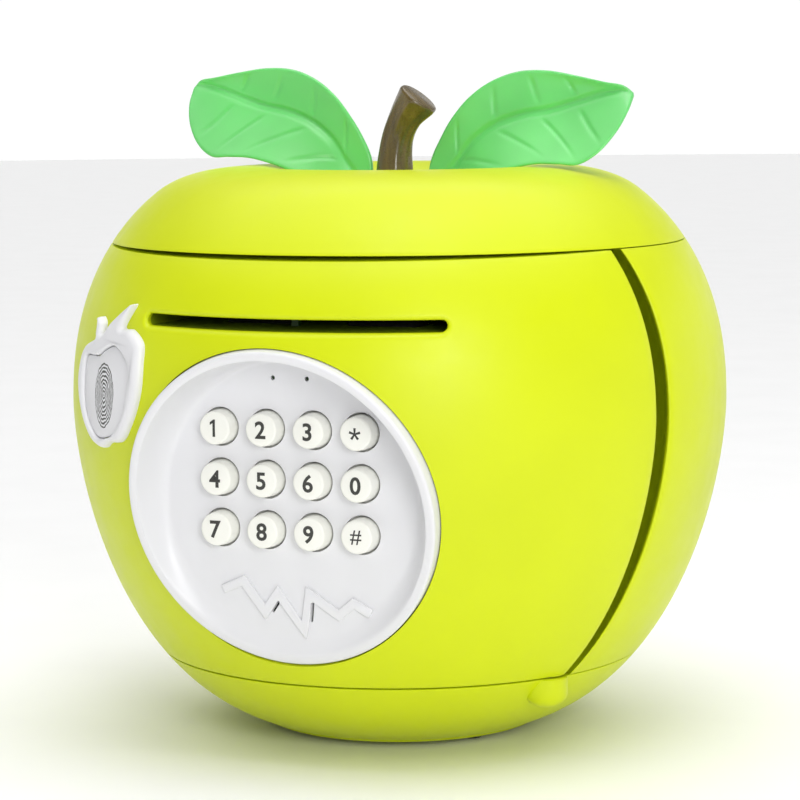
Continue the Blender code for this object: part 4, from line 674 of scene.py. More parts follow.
def steel_finish():
    finish = Finish("plated_steel", Metallic=1.0)
    brushed = finish.noise(700, 4, (1, 1, 0.08))
    finish.tint(brushed, (0.3, (0.50, 0.50, 0.52, 1)), (0.7, (0.66, 0.66, 0.68, 1)))
    finish.spread_roughness(brushed, 0.22, 0.4)
    finish.bump(brushed, 0.01 * MM)
    return finish


def board_finish():
    """Green solder mask with copper lines that show faintly under it."""
    finish = Finish("board_mask")
    lines = finish.node("ShaderNodeTexVoronoi", {"Scale": 260}, distance="MANHATTAN")
    finish.link(finish.coordinates, lines.inputs["Vector"])
    finish.tint(lines.outputs["Distance"], (0.3, (0.02, 0.20, 0.07, 1)), (0.34, (0.05, 0.30, 0.09, 1)))
    finish.spread_roughness(finish.noise(300, 3), 0.3, 0.45)
    finish.bump(lines.outputs["Distance"], 0.03 * MM)
    return finish


# ---- Shells ----


def cap_curve():
    """The cap's outer profile, from the seam over the shoulder to the bottom of the dimple."""
    shoulder_z = BODY_TOP - SHOULDER_DROP
    shoulder = Vector((outline_radius(shoulder_z), shoulder_z))
    corner = shoulder + SHOULDER_DROP * Vector((outline_slope(shoulder_z), 1))
    crest = Vector((CREST_RADIUS, BODY_TOP))
    curve = [Vector((outline_radius(z), z)) for z in spread(TOP_SEAM, shoulder_z, 14)]
    for t in spread(0, 1, 24)[1:]:
        curve.append((1 - t) ** 2 * shoulder + 2 * t * (1 - t) * corner + t**2 * crest)
    for t in spread(1, 0, 30)[1:]:
        rise = math.sin(math.pi / 2 * t) ** 2
        curve.append(Vector((CREST_RADIUS * t, BODY_TOP - DIMPLE_DEPTH * (1 - rise))))
    return curve


def offset_curve(curve, distance):
    """An open (radius, height) curve moved square to itself, towards its left-hand side."""
    moved = []
    for i, point in enumerate(curve):
        along = (curve[min(i + 1, len(curve) - 1)] - curve[max(i - 1, 0)]).normalized()
        moved.append(point + distance * Vector((-along.y, along.x)))
    return moved


class BANK_OT_top_cap(bpy.types.Operator):
    """Turn the dished cap and cut its coin slot"""

    bl_idname = "bank.top_cap"
    bl_label = "Top Cap"

    def execute(self, context):
        outer = cap_curve()
        inner = offset_curve(outer, sizes().wall)
        inner[0] = Vector((skin_radius(TOP_SEAM, sizes().wall), TOP_SEAM))
        inner[-1].x = 0
        cap = spun([*outer, *reversed(inner)], ROUND_STEPS)
        round_edges(cap, sizes().seam_round)
        deck_low, deck_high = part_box("cap_deck")
        low = (-COIN_HALF_LENGTH, COIN_Y - COIN_HALF_HEIGHT, deck_low.z + 8 * MM)
        high = (COIN_HALF_LENGTH, COIN_Y + COIN_HALF_HEIGHT, deck_high.z + 15 * MM)
        combine(cap, "DIFFERENCE", block(low, high))
        finish_piece(cap, "top_cap_looks", "housing", FINISHES["shell"], ["top_cap"])
        return {"FINISHED"}


def rear_section(z):
    """One level of the rear shell: outer skin, left edge, inner skin, cove wall and rounded lip."""
    outer, inner = outline_radius(z), skin_radius(z, sizes().wall)
    hinge = HINGE.xy
    reach = math.sqrt(outer**2 - DOOR_PLANE_Y**2) - hinge.x
    cove, cove_back = reach + COVE_GAP, reach + COVE_GAP + COVE_WALL
    left_y = DOOR_PLANE_Y + 0.8 * MM
    lip_y = DOOR_PLANE_Y + LIP_OFFSET + LIP_SHARE * reach

    def on_body(radius, angle):
        return Vector((radius * math.cos(angle), radius * math.sin(angle)))

    def on_cove(radius, angle):
        return hinge + on_body(radius, angle)

    lip_angle = math.asin((lip_y + LIP_ROUND) / outer)
    lip_outer = on_body(outer, lip_angle)
    outer_end = math.pi + math.asin(-left_y / outer)
    inner_end = math.pi + math.asin(-left_y / inner)
    distance = hinge.length
    lean = (inner**2 - distance**2 - cove_back**2) / (2 * distance * cove_back)
    back_start = math.atan2(hinge.y, hinge.x) + math.acos(lean)
    corner = on_cove(cove_back, back_start)
    wall_x = hinge.x - LOBE_RADIUS - COVE_SIDE_GAP
    cove_end = math.acos((wall_x - hinge.x) / cove)
    back_end = math.acos((wall_x - COVE_WALL - hinge.x) / cove_back)
    start = lip_outer - hinge
    cove_start = math.atan2(start.y, start.x) + 0.03
    points = [on_body(outer, a) for a in spread(lip_angle, outer_end, 150)]
    points += [on_body(inner, a) for a in spread(inner_end, math.atan2(corner.y, corner.x), 60)]
    points += [on_cove(cove_back, a) for a in spread(back_start, back_end, 14)[1:]]
    points += [Vector((wall_x - COVE_WALL, left_y)), Vector((wall_x, left_y))]
    points += [on_cove(cove, a) for a in spread(cove_end, cove_start, 36)]
    a, d = points[-1], lip_outer
    pull = 1.35 * (d - a).length
    b = a + pull * Vector((math.sin(cove_start), -math.cos(cove_start)))
    c = d + pull * Vector((math.sin(lip_angle), -math.cos(lip_angle)))
    for t in spread(0, 1, 10)[1:-1]:
        points.append((1 - t) ** 3 * a + 3 * t * (1 - t) ** 2 * b + 3 * t**2 * (1 - t) * c + t**3 * d)
    return points


class BANK_OT_rear_shell(bpy.types.Operator):
    """Raise the rear shell from its sections and round its edges"""

    bl_idname = "bank.rear_shell"
    bl_label = "Rear Shell"

    def execute(self, context):
        levels = spread(SHELL_LOW, SHELL_TOP, 56)
        sections = {z: rear_section(z) for z in levels}
        count = len(sections[levels[0]])

        def place(column, z, side):
            point = sections[z][column % count]
            return (point.x, point.y, z)

        shell = wrapped_grid(range(count + 1), levels, place)
        fill_holes(shell)
        round_edges(shell, sizes().seam_round)
        finish_piece(shell, "rear_shell_looks", "housing", FINISHES["shell"], ["rear_shell"])
        return {"FINISHED"}


class BANK_OT_base_shell(bpy.types.Operator):
    """Turn the bowl under the seam, with its hinge boss and the openings in its underside"""

    bl_idname = "bank.base_shell"
    bl_label = "Base Bowl"

    def execute(self, context):
        wall = sizes().wall
        flat = outline_radius(UNDERSIDE) - 1.6 * MM
        edge = outline_radius(UNDERSIDE + UNDERSIDE_ROUND)
        profile = [(0, UNDERSIDE), (flat, UNDERSIDE)]
        profile += [(flat + x, UNDERSIDE + z) for x, z in quarter(5, edge - flat, UNDERSIDE_ROUND)]
        profile += [(outline_radius(z), z) for z in spread(UNDERSIDE + 2 * MM, BASE_SEAM, 24)]
        profile += [(skin_radius(z, wall), z) for z in spread(BASE_SEAM, UNDERSIDE + 6 * MM, 14)]
        profile += [(flat - 3 * MM, UNDERSIDE + wall), (0, UNDERSIDE + wall)]
        base = spun(profile, ROUND_STEPS)
        round_edges(base, BASE_ROUND)
        low = BASE_SEAM - BOSS_LENGTH
        profile = [(0, low)] + [(x, low + z) for x, z in quarter(8, BOSS_RADIUS, 4 * MM)]
        profile += [(BOSS_RADIUS, BASE_SEAM - BASE_ROUND), (BOSS_RADIUS - BASE_ROUND, BASE_SEAM)]
        profile.append((0, BASE_SEAM))
        combine(base, "UNION", spun(profile, 48, Matrix.Translation((*HINGE.xy, 0))))
        pin_hole = post((*HINGE.xy, low + 2.4 * MM), (*HINGE.xy, BASE_SEAM + MM), PIN_HOLE)
        combine(base, "DIFFERENCE", pin_hole)
        openings = [self.cover_opening()]
        for angle in SCREW_ANGLES:
            place = polar(SCREW_CIRCLE, math.radians(angle))
            openings.append(post(place, place + Vector((0, 0, 14 * MM)), SCREW_HOLE))
        for number in range(1, 5):
            x, y, _ = sum(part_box(f"foot_{number}"), Vector()) / 2
            openings.append(post((x, y, 0), (x, y, UNDERSIDE + MM), FOOT_HOLE))
        combine(base, "DIFFERENCE", join(*openings))
        finish_piece(base, "base_bowl_looks", "housing", FINISHES["shell"], ["base_shell"])
        return {"FINISHED"}

    def cover_opening(self):
        """The battery cover's opening, with a round-ended arm for its screw tab."""
        low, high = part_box("battery_cover")
        fit, tab, top = COVER_FIT, COVER_TAB, UNDERSIDE + 4 * MM
        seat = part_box("battery_box")[1].y - COVER_SEAT
        opening = block((low.x - fit, low.y - fit, 0), (high.x + fit, seat + fit, top))
        screw_y = high.y + fit - tab
        arm = block((-tab, 0, 0), (tab, screw_y, top))
        return combine(opening, "UNION", arm, post((0, screw_y, 0), (0, screw_y, top), tab))


# ---- Door ----


def dish_place(shift=0.0):
    """The rim circle's frame, moved out by shift: X across, Y up the rim plane, Z out of the dish."""
    tilt = Matrix.Rotation(DISH_TILT, 4, "X")
    return Matrix.Translation((0, DISH_RIM_Y, DISH_Z)) @ tilt @ FRONT @ Matrix.Translation((0, 0, shift))


def slot_distance(x, z):
    """How far a place on the door's face is outside the slot's outline."""
    half = sizes().slot_height / 2
    past = max(abs(x - SLOT_X) - (sizes().slot_length / 2 - half), 0)
    return math.hypot(past, z - SLOT_Z) - half


def door_point(share, z, depth):
    """A point of the door's face: share runs from -1 to 1 between its upright edges."""
    radius = skin_radius(z, depth)
    angle = share * math.acos(-DOOR_PLANE_Y / radius)
    point = polar(radius, angle, z)
    front = (DOOR_PLANE_Y - point.y) / (outline_radius(TOP_SEAM) + DOOR_PLANE_Y)
    above = max(0, (z - (DOOR_TOP - DOOR_BEND)) / DOOR_BEND)
    point.z -= DOOR_TOP_SLOPE * front * above**2
    return point


def door_block(depth, low, high, columns, rows, lip=0.0):
    """The solid between the door's plane and the surface that lies depth inside its face."""

    def place(share, row, side):
        z = low + row * (high - low)
        point = door_point(share, z, depth)
        if lip:
            gap = slot_distance(point.x, point.z)
            if gap < lip:
                point.y += lip * (1 - math.sqrt(1 - min(1, 1 - gap / lip) ** 2))
        if depth and abs(share) > 0.9999:
            point.y += MM
        return point

    return fill_holes(wrapped_grid([*columns, columns[0]], rows, place))


class BANK_OT_door_panel(bpy.types.Operator):
    """Wrap the door's face on the body, hollow it, and open it for the dish and the note slot"""

    bl_idname = "bank.door_panel"
    bl_label = "Door Panel"

    def execute(self, context):
        height = DOOR_TOP - DOOR_LOW
        reach = math.acos(-DOOR_PLANE_Y / outline_radius(SLOT_Z))
        lip = SLOT_LIP
        half_length, half_height = sizes().slot_length / 2 + lip, sizes().slot_height / 2 + lip
        shares = []
        for x in (-half_length, 8 * MM - half_length, half_length - 8 * MM, half_length):
            shares.append(math.asin((SLOT_X + x) / outline_radius(SLOT_Z)) / reach)
        columns = between([-1, *shares, 1], [0.025, 0.005, 0.022, 0.005, 0.025])
        band = [(SLOT_Z + side * half_height - DOOR_LOW) / height for side in (-1, 1)]
        rows = between([0, *band, 1], [0.018, 0.0022, 0.014])
        door = door_block(0, DOOR_LOW, DOOR_TOP, columns, rows, lip)
        round_edges(door, sizes().seam_round, 45)
        wall = sizes().wall
        coarse = spread(-1, 1, 60)
        hollow = door_block(wall, DOOR_LOW + wall, DOOR_TOP - wall, coarse, spread(0, 1, 30))
        combine(door, "DIFFERENCE", hollow)
        for low, high in ((DOOR_LOW, DOOR_LOW + LOBE_LENGTH), (DOOR_TOP - LOBE_LENGTH, DOOR_TOP)):
            combine(door, "UNION", post((*HINGE.xy, low), (*HINGE.xy, high), LOBE_RADIUS, 48))
        combine(door, "DIFFERENCE", post((*HINGE.xy, 0), (*HINGE.xy, BODY_TOP), PIN_HOLE))
        ends = [dish_place(shift).translation for shift in (-30 * MM, 30 * MM)]
        rim_hole = post(*ends, sizes().dish_radius + 0.35 * MM, ROUND_STEPS)
        combine(door, "DIFFERENCE", rim_hole, self.slot_cutter())
        finish_piece(door, "door_panel_looks", "door", FINISHES["shell"], ["door_panel"])
        return {"FINISHED"}

    def slot_cutter(self):
        half = sizes().slot_height / 2
        straight = sizes().slot_length / 2 - half
        outline = []
        for side, start in ((1, -90), (-1, 90)):
            for degrees in spread(start, start + 180, 12):
                a = math.radians(degrees)
                outline.append((SLOT_X + side * straight + half * math.cos(a), SLOT_Z + half * math.sin(a)))
        return extruded(outline, -DOOR_PLANE_Y + 20 * MM, sizes().radius + 5 * MM, FRONT)


def floor_depth(up):
    """The floor's depth under the rim plane, at a height up that plane."""
    rise, fall = math.sin(DISH_TILT), math.cos(DISH_TILT)
    upper = (DISH_DEPTH + up * rise) / fall
    lean = math.tan(FLOOR_LEAN)
    lower = (DISH_DEPTH + up * rise + lean * (CREASE_Z - DISH_Z - up * fall)) / (fall + lean * rise)
    return max(upper, lower)


class BANK_OT_keypad_dish(bpy.types.Operator):
    """Shape the white dish with its rolled rim, key holes, lamp holes, ribbon and speaker slits"""

    bl_idname = "bank.keypad_dish"
    bl_label = "Keypad Dish"

    def execute(self, context):
        radius = sizes().dish_radius
        wall_top = radius - RIM_WIDTH
        floor_edge = wall_top - WALL_RUN
        roll = 0.9 * MM
        stations = [(r, 1.0) for r in spread(0, floor_edge, 30)]
        for share in spread(1, 0, 16)[1:-1]:
            stations.append((wall_top - share * WALL_RUN, 1 - (1 - share) ** WALL_CURVE))
        stations += [(wall_top + 0.15 * MM, 0.012), (wall_top + 0.5 * MM, 0.0), (radius - roll, 0.0)]
        edge = [(radius - roll + x, depth) for x, depth in quarter(6, roll, roll)]
        edge += [(radius, 3 * MM), (radius, SKIRT_DEPTH)]
        profile = [(r, share, None) for r, share in stations] + [(r, None, depth) for r, depth in edge]
        place_dish = dish_place()

        def place(angle, station, side):
            r, share, depth = profile[station]
            x, y = r * math.cos(angle), r * math.sin(angle)
            if depth is None:
                depth = share * floor_depth(y)
            return place_dish @ Vector((x, y, -depth))

        plate = wrapped_grid(spread(0, math.tau, 168), range(len(profile)), place)
        middle = min(plate.data.polygons, key=lambda face: (face.center - place_dish.translation).xz.length)
        if middle.normal.y > 0:
            plate.data.flip_normals()
        apply_modifier(plate, "SOLIDIFY", thickness=PLATE_THICKNESS, offset=-1)
        combine(plate, "UNION", self.ribbon())
        combine(plate, "DIFFERENCE", join(*self.cutters()))
        finish_piece(plate, "keypad_dish_looks", "door", FINISHES["plate"], ["keypad_plate"])
        return {"FINISHED"}

    def ribbon(self):
        """The raised zigzag, with its top edges rounded, leaning with the lower floor."""
        corners = [Vector(corner) for corner in RIBBON]
        left, right = [], []
        for i, corner in enumerate(corners):
            near = corners[max(i - 1, 0):i + 2]
            legs = [(b - a).normalized() for a, b in zip(near, near[1:])]
            along = sum(legs, Vector((0, 0))).normalized()
            half = RIBBON_WIDTH / 2 / max(0.5, along.dot(legs[-1]))
            offset = half * Vector((-along.y, along.x))
            left.append((corner + offset) * MM)
            right.append((corner - offset) * MM)
        crease = Matrix.Translation((0, DISH_FLOOR_Y, CREASE_Z))
        place = crease @ Matrix.Rotation(FLOOR_LEAN, 4, "X") @ crease.inverted() @ FRONT
        ribbon = extruded(left + right[::-1], -DISH_FLOOR_Y - MM, -DISH_FLOOR_Y + RIBBON_PROUD * MM)
        round_edges(ribbon, 0.35 * MM, 30, 3)
        ribbon.data.transform(place)
        return ribbon

    def cutters(self):
        front, back = DISH_FLOOR_Y - 6 * MM, DISH_FLOOR_Y + 8 * MM
        made = []
        for row in range(len(KEY_ROWS)):
            for column in range(len(KEY_ROWS[0])):
                x, z = key_place(row, column)
                made.append(post((x, front, z), (x, back, z), sizes().key_radius + KEY_FIT, 48))
        for x in (-LAMP_X, LAMP_X):
            made.append(post((x, front, LAMP_Z), (x, back, LAMP_Z), LAMP_RADIUS, 20))
        for start, end in SLITS:
            start, end = Vector(start) * MM, Vector(end) * MM
            along = end - start
            side = Vector((-along.y, along.x)).normalized() * SLIT_WIDTH / 2 * MM
            outline = (start - side, end - side, end + side, start + side)
            made.append(extruded(outline, -back, -front, FRONT))
        return made


def key_place(row, column):
    return (column - 1.5) * KEY_PITCH, KEYPAD_Z - (row - 1) * KEY_PITCH


class BANK_OT_keys(bpy.types.Operator):
    """Turn the domed key caps and print their digits"""

    bl_idname = "bank.keys"
    bl_label = "Keys"

    def execute(self, context):
        radius, roll, crown, taper = sizes().key_radius, 0.7 * MM, 0.25 * MM, 0.35 * MM
        base, front = 1.0 * MM, sizes().key_proud
        back = -3.4 * MM
        profile = [(0, back), (radius + base, back), (radius + base, -2.7 * MM), (radius, -2.6 * MM)]
        top = front - crown
        for a in spread(0, math.pi / 2, 6):
            profile.append((radius - taper - roll + roll * math.cos(a), top - roll + roll * math.sin(a)))
        for share in spread(1, 0, 8)[1:]:
            profile.append(((radius - taper - roll) * share, top + crown * (1 - share**2)))
        cap = spun(profile, 56)
        for row, names in enumerate(KEY_ROWS):
            for column, key in enumerate(names):
                self.one_key(cap, key, *key_place(row, column))
        bpy.data.objects.remove(cap)
        return {"FINISHED"}

    def one_key(self, cap, key, x, z):
        copy = cap.copy()
        copy.data = cap.data.copy()
        bpy.context.scene.collection.objects.link(copy)
        copy.data.materials.append(FINISHES["key"])
        drawn = {"star": self.star, "1": self.one}.get(key)
        digit = drawn() if drawn else self.digit(KEY_SIGNS.get(key, key))
        digit.data.materials.append(FINISHES["print"])
        join(copy, digit)
        copy.data.transform(Matrix.Translation((x, DISH_FLOOR_Y, z)) @ FRONT)
        finish_piece(copy, f"key_{key}_looks", f"key_{key}", None, [f"key_{key}"], 40)

    def one(self):
        """The digit one, with a flag and no foot."""
        top, half = sizes().digit_height / 2, 0.36 * MM
        tip, flag = -0.1 * MM, -1.15 * MM
        outline = (
            (-half, -top), (-half, top - MM), (flag, top - 1.5 * MM), (flag, top - 0.75 * MM),
            (tip, top), (half, top), (half, -top),
        )
        return extruded(outline, *self.print_levels())

    def star(self):
        """A star of five bars."""
        low, high = self.print_levels()
        outline = ((-0.22 * MM, 0), (0.22 * MM, 0), (0.34 * MM, 1.65 * MM), (-0.34 * MM, 1.65 * MM))
        bars = []
        for i in range(5):
            bars.append(extruded(outline, low, high, Matrix.Rotation(i * math.tau / 5, 4, "Z")))
        return combine(bars[0], "UNION", *bars[1:])

    def digit(self, sign):
        begin()
        bpy.ops.object.text_add()
        text = bpy.context.object
        text.data.body = sign
        text.data.align_x, text.data.align_y = "CENTER", "CENTER"
        text.data.size = sizes().digit_height / 0.73 * (0.85 if sign == "#" else 1)
        text.data.offset = 0.02 * MM if sign == "#" else 0.14 * MM
        text.data.extrude = PRINT_RELIEF
        text.data.resolution_u = 4
        bpy.ops.object.convert(target="MESH")
        mark = bpy.context.object
        low = [min(vertex.co[k] for vertex in mark.data.vertices) for k in (0, 1)]
        high = [max(vertex.co[k] for vertex in mark.data.vertices) for k in (0, 1)]
        lift = sizes().key_proud - PRINT_SINK
        shift = Vector((-(low[0] + high[0]) / 2, -(low[1] + high[1]) / 2, lift))
        mark.data.transform(Matrix.Translation(shift))
        return mark

    def print_levels(self):
        lift = sizes().key_proud - PRINT_SINK
        return lift - PRINT_RELIEF, lift + PRINT_RELIEF


class BANK_OT_badge(bpy.types.Operator):
    """Build the puffed badge ring with its recess, and the printed pad inside it"""

    bl_idname = "bank.badge"
    bl_label = "Fingerprint Badge"

    def execute(self, context):
        outline = smooth_loop(BADGE_CORNERS, 8)
        pad = smooth_loop(PAD_CORNERS, 10)
        reach = clear_reach(outline, BADGE_ROUND)
        rows = [(0.0, BADGE_BACK), (0.0, BADGE_PROUD - BADGE_ROUND)]
        rows += [(inward, BADGE_PROUD - BADGE_ROUND * (1 - rise)) for rise, inward in quarter(7, 1, 1)]
        loops = []
        for inward, height in rows:
            loops.append(self.level([-inward * r for r in reach], outline, height))
        ring = lofted(loops)
        combine(ring, "DIFFERENCE", self.opening_cutter(grown(pad, [PAD_FIT] * len(pad))))
        self.wrap(ring)
        plate = FINISHES["plate"]
        finish_piece(ring, "badge_looks", "door", plate, ["fingerprint_badge"], 40)
        button = extruded(pad, PAD_BACK, BADGE_PROUD - PAD_RECESS)
        round_edges(button, PAD_ROUND, 60, 3)
        self.cut_in_strips(button)
        self.wrap(button)
        finish_piece(
            button, "fingerprint_pad_looks", "fingerprint_pad", FINISHES["pad"],
            ["fingerprint_pad"], 40,
        )
        return {"FINISHED"}

    def level(self, distances, outline, height):
        """An outline moved outwards by its distances, at a height over the badge's plane."""
        return [Vector((point.x, point.y, height)) for point in grown(outline, distances)]

    def wrap(self, piece):
        """Bends a piece in the badge's flat millimetres round the body."""
        for vertex in piece.data.vertices:
            x, y, height = vertex.co * MM
            z = BADGE_Z + y
            vertex.co = polar(outline_radius(z) + height, BADGE_TURN + x * BADGE_WIDEN / sizes().radius, z)

    def cut_in_strips(self, piece):
        """Cuts a piece into upright strips that are narrow enough to bend."""
        with editing(piece):
            for level in spread(-10, 10, 10):
                bpy.ops.mesh.select_all(action="SELECT")
                bpy.ops.mesh.bisect(plane_co=(level, 0, 0), plane_no=(1, 0, 0))

    def opening_cutter(self, opening):
        """The pad's opening, flared where it meets the badge's face."""
        flare = ((0.0, -14.4), (0.0, -0.9), (0.12, -0.45), (0.42, -0.12), (0.9, 0.02), (0.9, 2.0))
        loops = []
        for outward, over_face in flare:
            loops.append(self.level([outward] * len(opening), opening, BADGE_PROUD + over_face))
        return lofted(loops)


# ---- Stem and leaves ----


class BANK_OT_stem(bpy.types.Operator):
    """Sweep the ribbed stem along its bend and cut its end"""

    bl_idname = "bank.stem"
    bl_label = "Stem"

    def execute(self, context):
        turns, along = 64, 56

        def place(angle, share, side):
            centre = smooth_path(STEM_PATH, share)
            before, after = max(0, share - 0.01), min(1, share + 0.01)
            ahead = (smooth_path(STEM_PATH, after) - smooth_path(STEM_PATH, before)).normalized()
            width = smooth_path([(r, 0) for r in STEM_RADII], share).x
            end = max(0, (share - STEM_END) / (1 - STEM_END))
            width -= 0.75 * (1 - math.sqrt(max(0, 1 - end**2)))
            ribs = 0.16 * math.sin(5 * angle + 3 * share) + 0.10 * math.sin(9 * angle - 5 * share + 1)
            width += ribs * (1 - end)
            across = Vector((ahead.y, 0, -ahead.x)) * math.cos(angle) + Vector((0, 1, 0)) * math.sin(angle)
            return (Vector((centre.x, 0, centre.y)) + width * across) * MM

        shares = between([0, STEM_END, 1], [1 / along, 0.006])
        stem = fill_holes(wrapped_grid(spread(0, math.tau, turns), shares, place))
        self.shape_end(stem)
        finish_piece(stem, "stem_looks", "housing", FINISHES["bark"], ["stem"], 50)
        return {"FINISHED"}

    def shape_end(self, stem):
        """Insets the cut face twice and sinks it a little."""
        top = max(stem.data.polygons, key=lambda face: face.center.z)
        activate(stem)
        for face in stem.data.polygons:
            face.select = face.index == top.index
        normal = top.normal.copy()
        bpy.ops.object.mode_set(mode="EDIT")
        bpy.ops.mesh.select_mode(type="FACE")
        bpy.ops.mesh.inset(thickness=0.5 * MM)
        bpy.ops.mesh.inset(thickness=0.6 * MM)
        bpy.ops.transform.translate(value=-0.35 * MM * normal)
        bpy.ops.mesh.inset(thickness=1.6 * MM)
        bpy.ops.transform.translate(value=0.25 * MM * normal)
        bpy.ops.mesh.select_mode(type="VERT")
        bpy.ops.object.mode_set(mode="OBJECT")


def leaf_point(across, along, side):
    """A point of the right leaf's blade, with across from -1 at its lower edge to 1 at its upper one."""
    rib = smooth_path(LEAF_RIB, along)
    edge = smooth_path(LEAF_UPPER if across > 0 else LEAF_LOWER, along)
    width = (edge - rib).length
    flat = rib.lerp(edge, abs(across))
    fullness = math.sin(math.pi * min(1, along))
    y = LEAF_Y[0] + (LEAF_Y[1] - LEAF_Y[0]) * along + LEAF_LEAN * width * across
    y -= LEAF_CUP * abs(across) ** 1.5 * fullness
    y += MIDRIB_RISE * fullness * math.exp(-(across * width / MIDRIB_WIDTH) ** 2)
    groove = 0.0
    for start, sweep in UPPER_VEINS if across > 0 else LOWER_VEINS:
        if VEIN_START < abs(across) < VEIN_END:
            fade = min(1, (abs(across) - VEIN_START) / 0.15, (VEIN_END - abs(across)) / 0.25)
            away = (along - start - sweep * abs(across) ** 1.3) * LEAF_LENGTH
            groove += fade * math.exp(-(away / VEIN_WIDTH) ** 2)
    edge_gap, tip_gap = (1 - abs(across)) * max(width, 0.5), (1 - along) * LEAF_LENGTH
    rounding = min(1, edge_gap / LEAF_ROUND, tip_gap / LEAF_ROUND)
    thickness = LEAF_THICKNESS * math.sqrt(max(0.0, 1 - (1 - rounding) ** 2))
    y += -thickness / 2 + VEIN_DEPTH * groove if side < 0.5 else thickness / 2
    return Vector((flat.x, y, flat.y))


class BANK_OT_leaves(bpy.types.Operator):
    """Shape both leaves as cupped blades with a midrib and side veins"""

    bl_idname = "bank.leaves"
    bl_label = "Leaves"

    def execute(self, context):
        across = between([-1, -0.93, 0, 0.93, 1], [0.012, 0.03, 0.03, 0.012])
        along = between([0, 0.93, 1], [0.0072, 0.004])
        root_x, root_z = LEAF_RIB[0]
        pivot = Matrix.Translation(Vector((root_x, LEAF_Y[0], root_z)) * MM)
        for name, side, lift in (("leaf_right", 1, 0.0), ("leaf_left", -1, LEFT_LEAF_LIFT)):
            blade = wrapped_grid(across, along, lambda a, b, c: leaf_point(a, b, c) * MM, slab=True)
            turn = pivot @ Matrix.Rotation(-lift, 4, "Y") @ pivot.inverted()
            blade.data.transform(Matrix.Diagonal((side, 1, 1, 1)) @ turn)
            tidy_faces(blade)
            x, y, low = side * root_x * MM, LEAF_Y[0] * MM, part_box(name)[0].z
            join(blade, post((x, y, low), (x, y, low + 12 * MM), 2 * MM, 24))
            finish_piece(blade, f"{name}_looks", "housing", FINISHES["leaf"], [name], 60)
        return {"FINISHED"}


# ---- Carried-over pieces and stage ----


CARRIED = {
    "shell": ("cap_deck", "money_floor", "door_back_cover", "battery_cover"),
    "guide": ("note_guide",),
    "dark": ("note_sensor", "lock_housing", "lamp_holder", "speaker", "battery_box"),
    "nylon": ("roller_gear", "motor_pinion"),
    "rubber": ("feed_roller", "pressure_roller", "key_mat", "foot_1", "foot_2", "foot_3", "foot_4"),
    "board": ("circuit_board",),
    "sleeve": ("battery_1", "battery_2", "battery_3"),
}


class BANK_OT_carried_pieces(bpy.types.Operator):
    """Give every carried-over piece its finish"""

    bl_idname = "bank.carried_pieces"
    bl_label = "Inner Pieces"

    def execute(self, context):
        finish_of = {name: finish for finish, names in CARRIED.items() for name in names}
        for name, obj in frame["nodes"].items():
            if obj.hide_render:
                continue
            material = FINISHES[finish_of.get(name, "steel")]
            if obj.material_slots:
                obj.material_slots[0].material = material
            else:
                obj.data.materials.append(material)
        return {"FINISHED"}


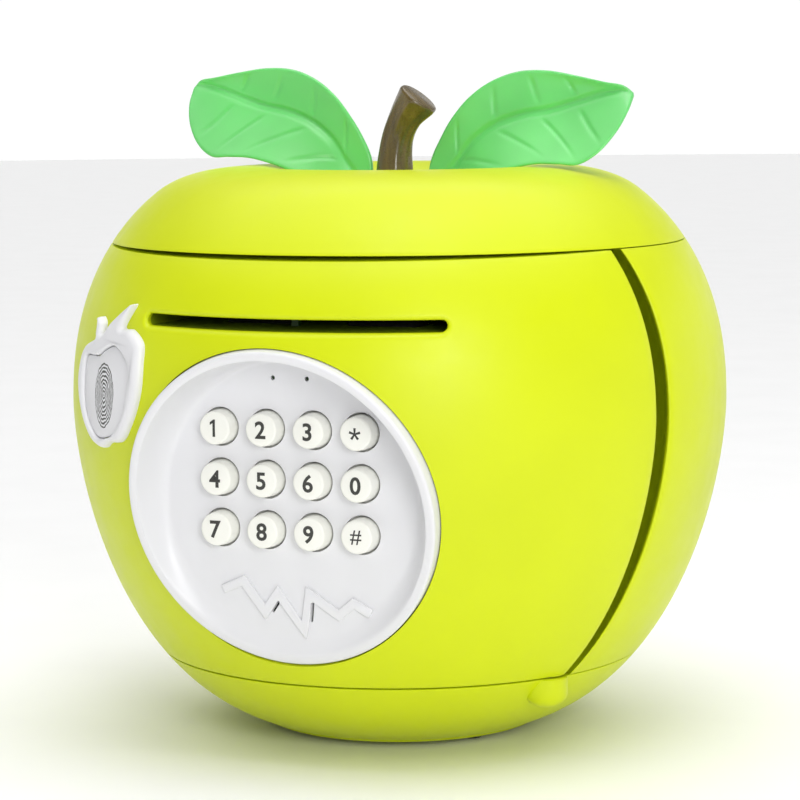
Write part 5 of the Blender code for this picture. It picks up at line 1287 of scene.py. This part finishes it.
class BANK_OT_stage(bpy.types.Operator):
    """Set the floor, the lights and the camera"""

    bl_idname = "bank.stage"
    bl_label = "Stage"

    def execute(self, context):
        self.floor()
        self.lights(context)
        self.camera(context)
        return {"FINISHED"}

    def floor(self):
        begin()
        bpy.ops.mesh.primitive_circle_add(vertices=96, radius=6, fill_type="NGON")
        floor = bpy.context.object
        floor.name = "floor"
        finish = moulded("pale_floor", (0.93, 0.93, 0.93, 1), (0.55, 0.65), vary=0.01)
        floor.data.materials.append(finish.material)

    def lights(self, context):
        world = bpy.data.worlds.new("studio")
        context.scene.world = world
        world.use_nodes = True
        tree, link = world.node_tree, world.node_tree.links.new
        way = add_node(tree, "ShaderNodeTexCoord")
        parts = add_node(tree, "ShaderNodeSeparateXYZ")
        link(way.outputs["Generated"], parts.inputs["Vector"])
        levels = [(position, (level, level, level, 1)) for position, level in SKY]
        sky = add_ramp(tree, parts.outputs["Z"], levels)
        side = add_node(tree, "ShaderNodeMapRange", {"From Min": -0.5, "From Max": 0.6, "To Min": FRONT_SKY})
        link(parts.outputs["Y"], side.inputs["Value"])
        mixed = add_node(tree, "ShaderNodeVectorMath", operation="SCALE")
        link(sky, mixed.inputs[0])
        link(side.outputs["Result"], mixed.inputs["Scale"])
        background = tree.nodes["Background"]
        link(mixed.outputs["Vector"], background.inputs["Color"])
        background.inputs["Strength"].default_value = SKY_STRENGTH
        context.scene.view_settings.view_transform = "Standard"
        self.softbox("key_light", (0.75, -1.0, 0.45), 0.45, 6.4)
        self.softbox("top_light", (0.15, -0.25, 1.1), 0.5, 2.2)

    def softbox(self, name, place, size, power):
        begin()
        bpy.ops.object.light_add(type="AREA", location=place)
        light = bpy.context.object
        light.name = name
        light.data.size = size
        light.data.energy = power
        light.rotation_euler = (Vector((0, 0, 0.09)) - Vector(place)).to_track_quat("-Z", "Y").to_euler()

    def camera(self, context):
        azimuth, elevation = math.radians(22.63), math.radians(6.945)
        pitch, roll, distance = math.radians(0.375), math.radians(-0.506), 0.8181
        back = polar(math.cos(elevation), azimuth, math.sin(elevation))
        look = (-back).to_track_quat("-Z", "Y").to_matrix().to_4x4()
        begin()
        bpy.ops.object.camera_add()
        camera = bpy.context.object
        camera.name = "view_camera"
        camera.data.lens = 125.56
        camera.data.sensor_width = 36
        place = Matrix.Translation(Vector((0, 0, 0.089)) + distance * back)
        camera.matrix_world = place @ look @ Matrix.Rotation(pitch, 4, "X") @ Matrix.Rotation(roll, 4, "Z")
        context.scene.camera = camera


class BANK_PT_panel(bpy.types.Panel):
    """Sizes, colours and the pieces in the order they are built"""

    bl_idname = "BANK_PT_panel"
    bl_label = "Apple Savings Bank"
    bl_space_type = "VIEW_3D"
    bl_region_type = "UI"
    bl_category = "Apple Bank"

    def draw(self, context):
        for group in (context.scene.bank_sizes, context.scene.bank_colours):
            box = self.layout.box()
            for name in group.__annotations__:
                box.prop(group, name)
        for operator in OPERATORS:
            self.layout.operator(operator.bl_idname)


FINISHES = {}
OPERATORS = (
    BANK_OT_top_cap,
    BANK_OT_rear_shell,
    BANK_OT_base_shell,
    BANK_OT_door_panel,
    BANK_OT_keypad_dish,
    BANK_OT_keys,
    BANK_OT_badge,
    BANK_OT_stem,
    BANK_OT_leaves,
    BANK_OT_carried_pieces,
    BANK_OT_stage,
)
CLASSES = (BankSizes, BankColours, *OPERATORS, BANK_PT_panel)


def register():
    for cls in CLASSES:
        bpy.utils.register_class(cls)
    bpy.types.Scene.bank_sizes = PointerProperty(type=BankSizes)
    bpy.types.Scene.bank_colours = PointerProperty(type=BankColours)


def unregister():
    del bpy.types.Scene.bank_colours
    del bpy.types.Scene.bank_sizes
    for cls in reversed(CLASSES):
        bpy.utils.unregister_class(cls)


def main():
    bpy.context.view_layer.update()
    register()
    FINISHES.update(make_finishes())
    for operator in OPERATORS:
        group, name = operator.bl_idname.split(".")
        getattr(getattr(bpy.ops, group), name)()
    begin()


if __name__ == "__main__":
    main()
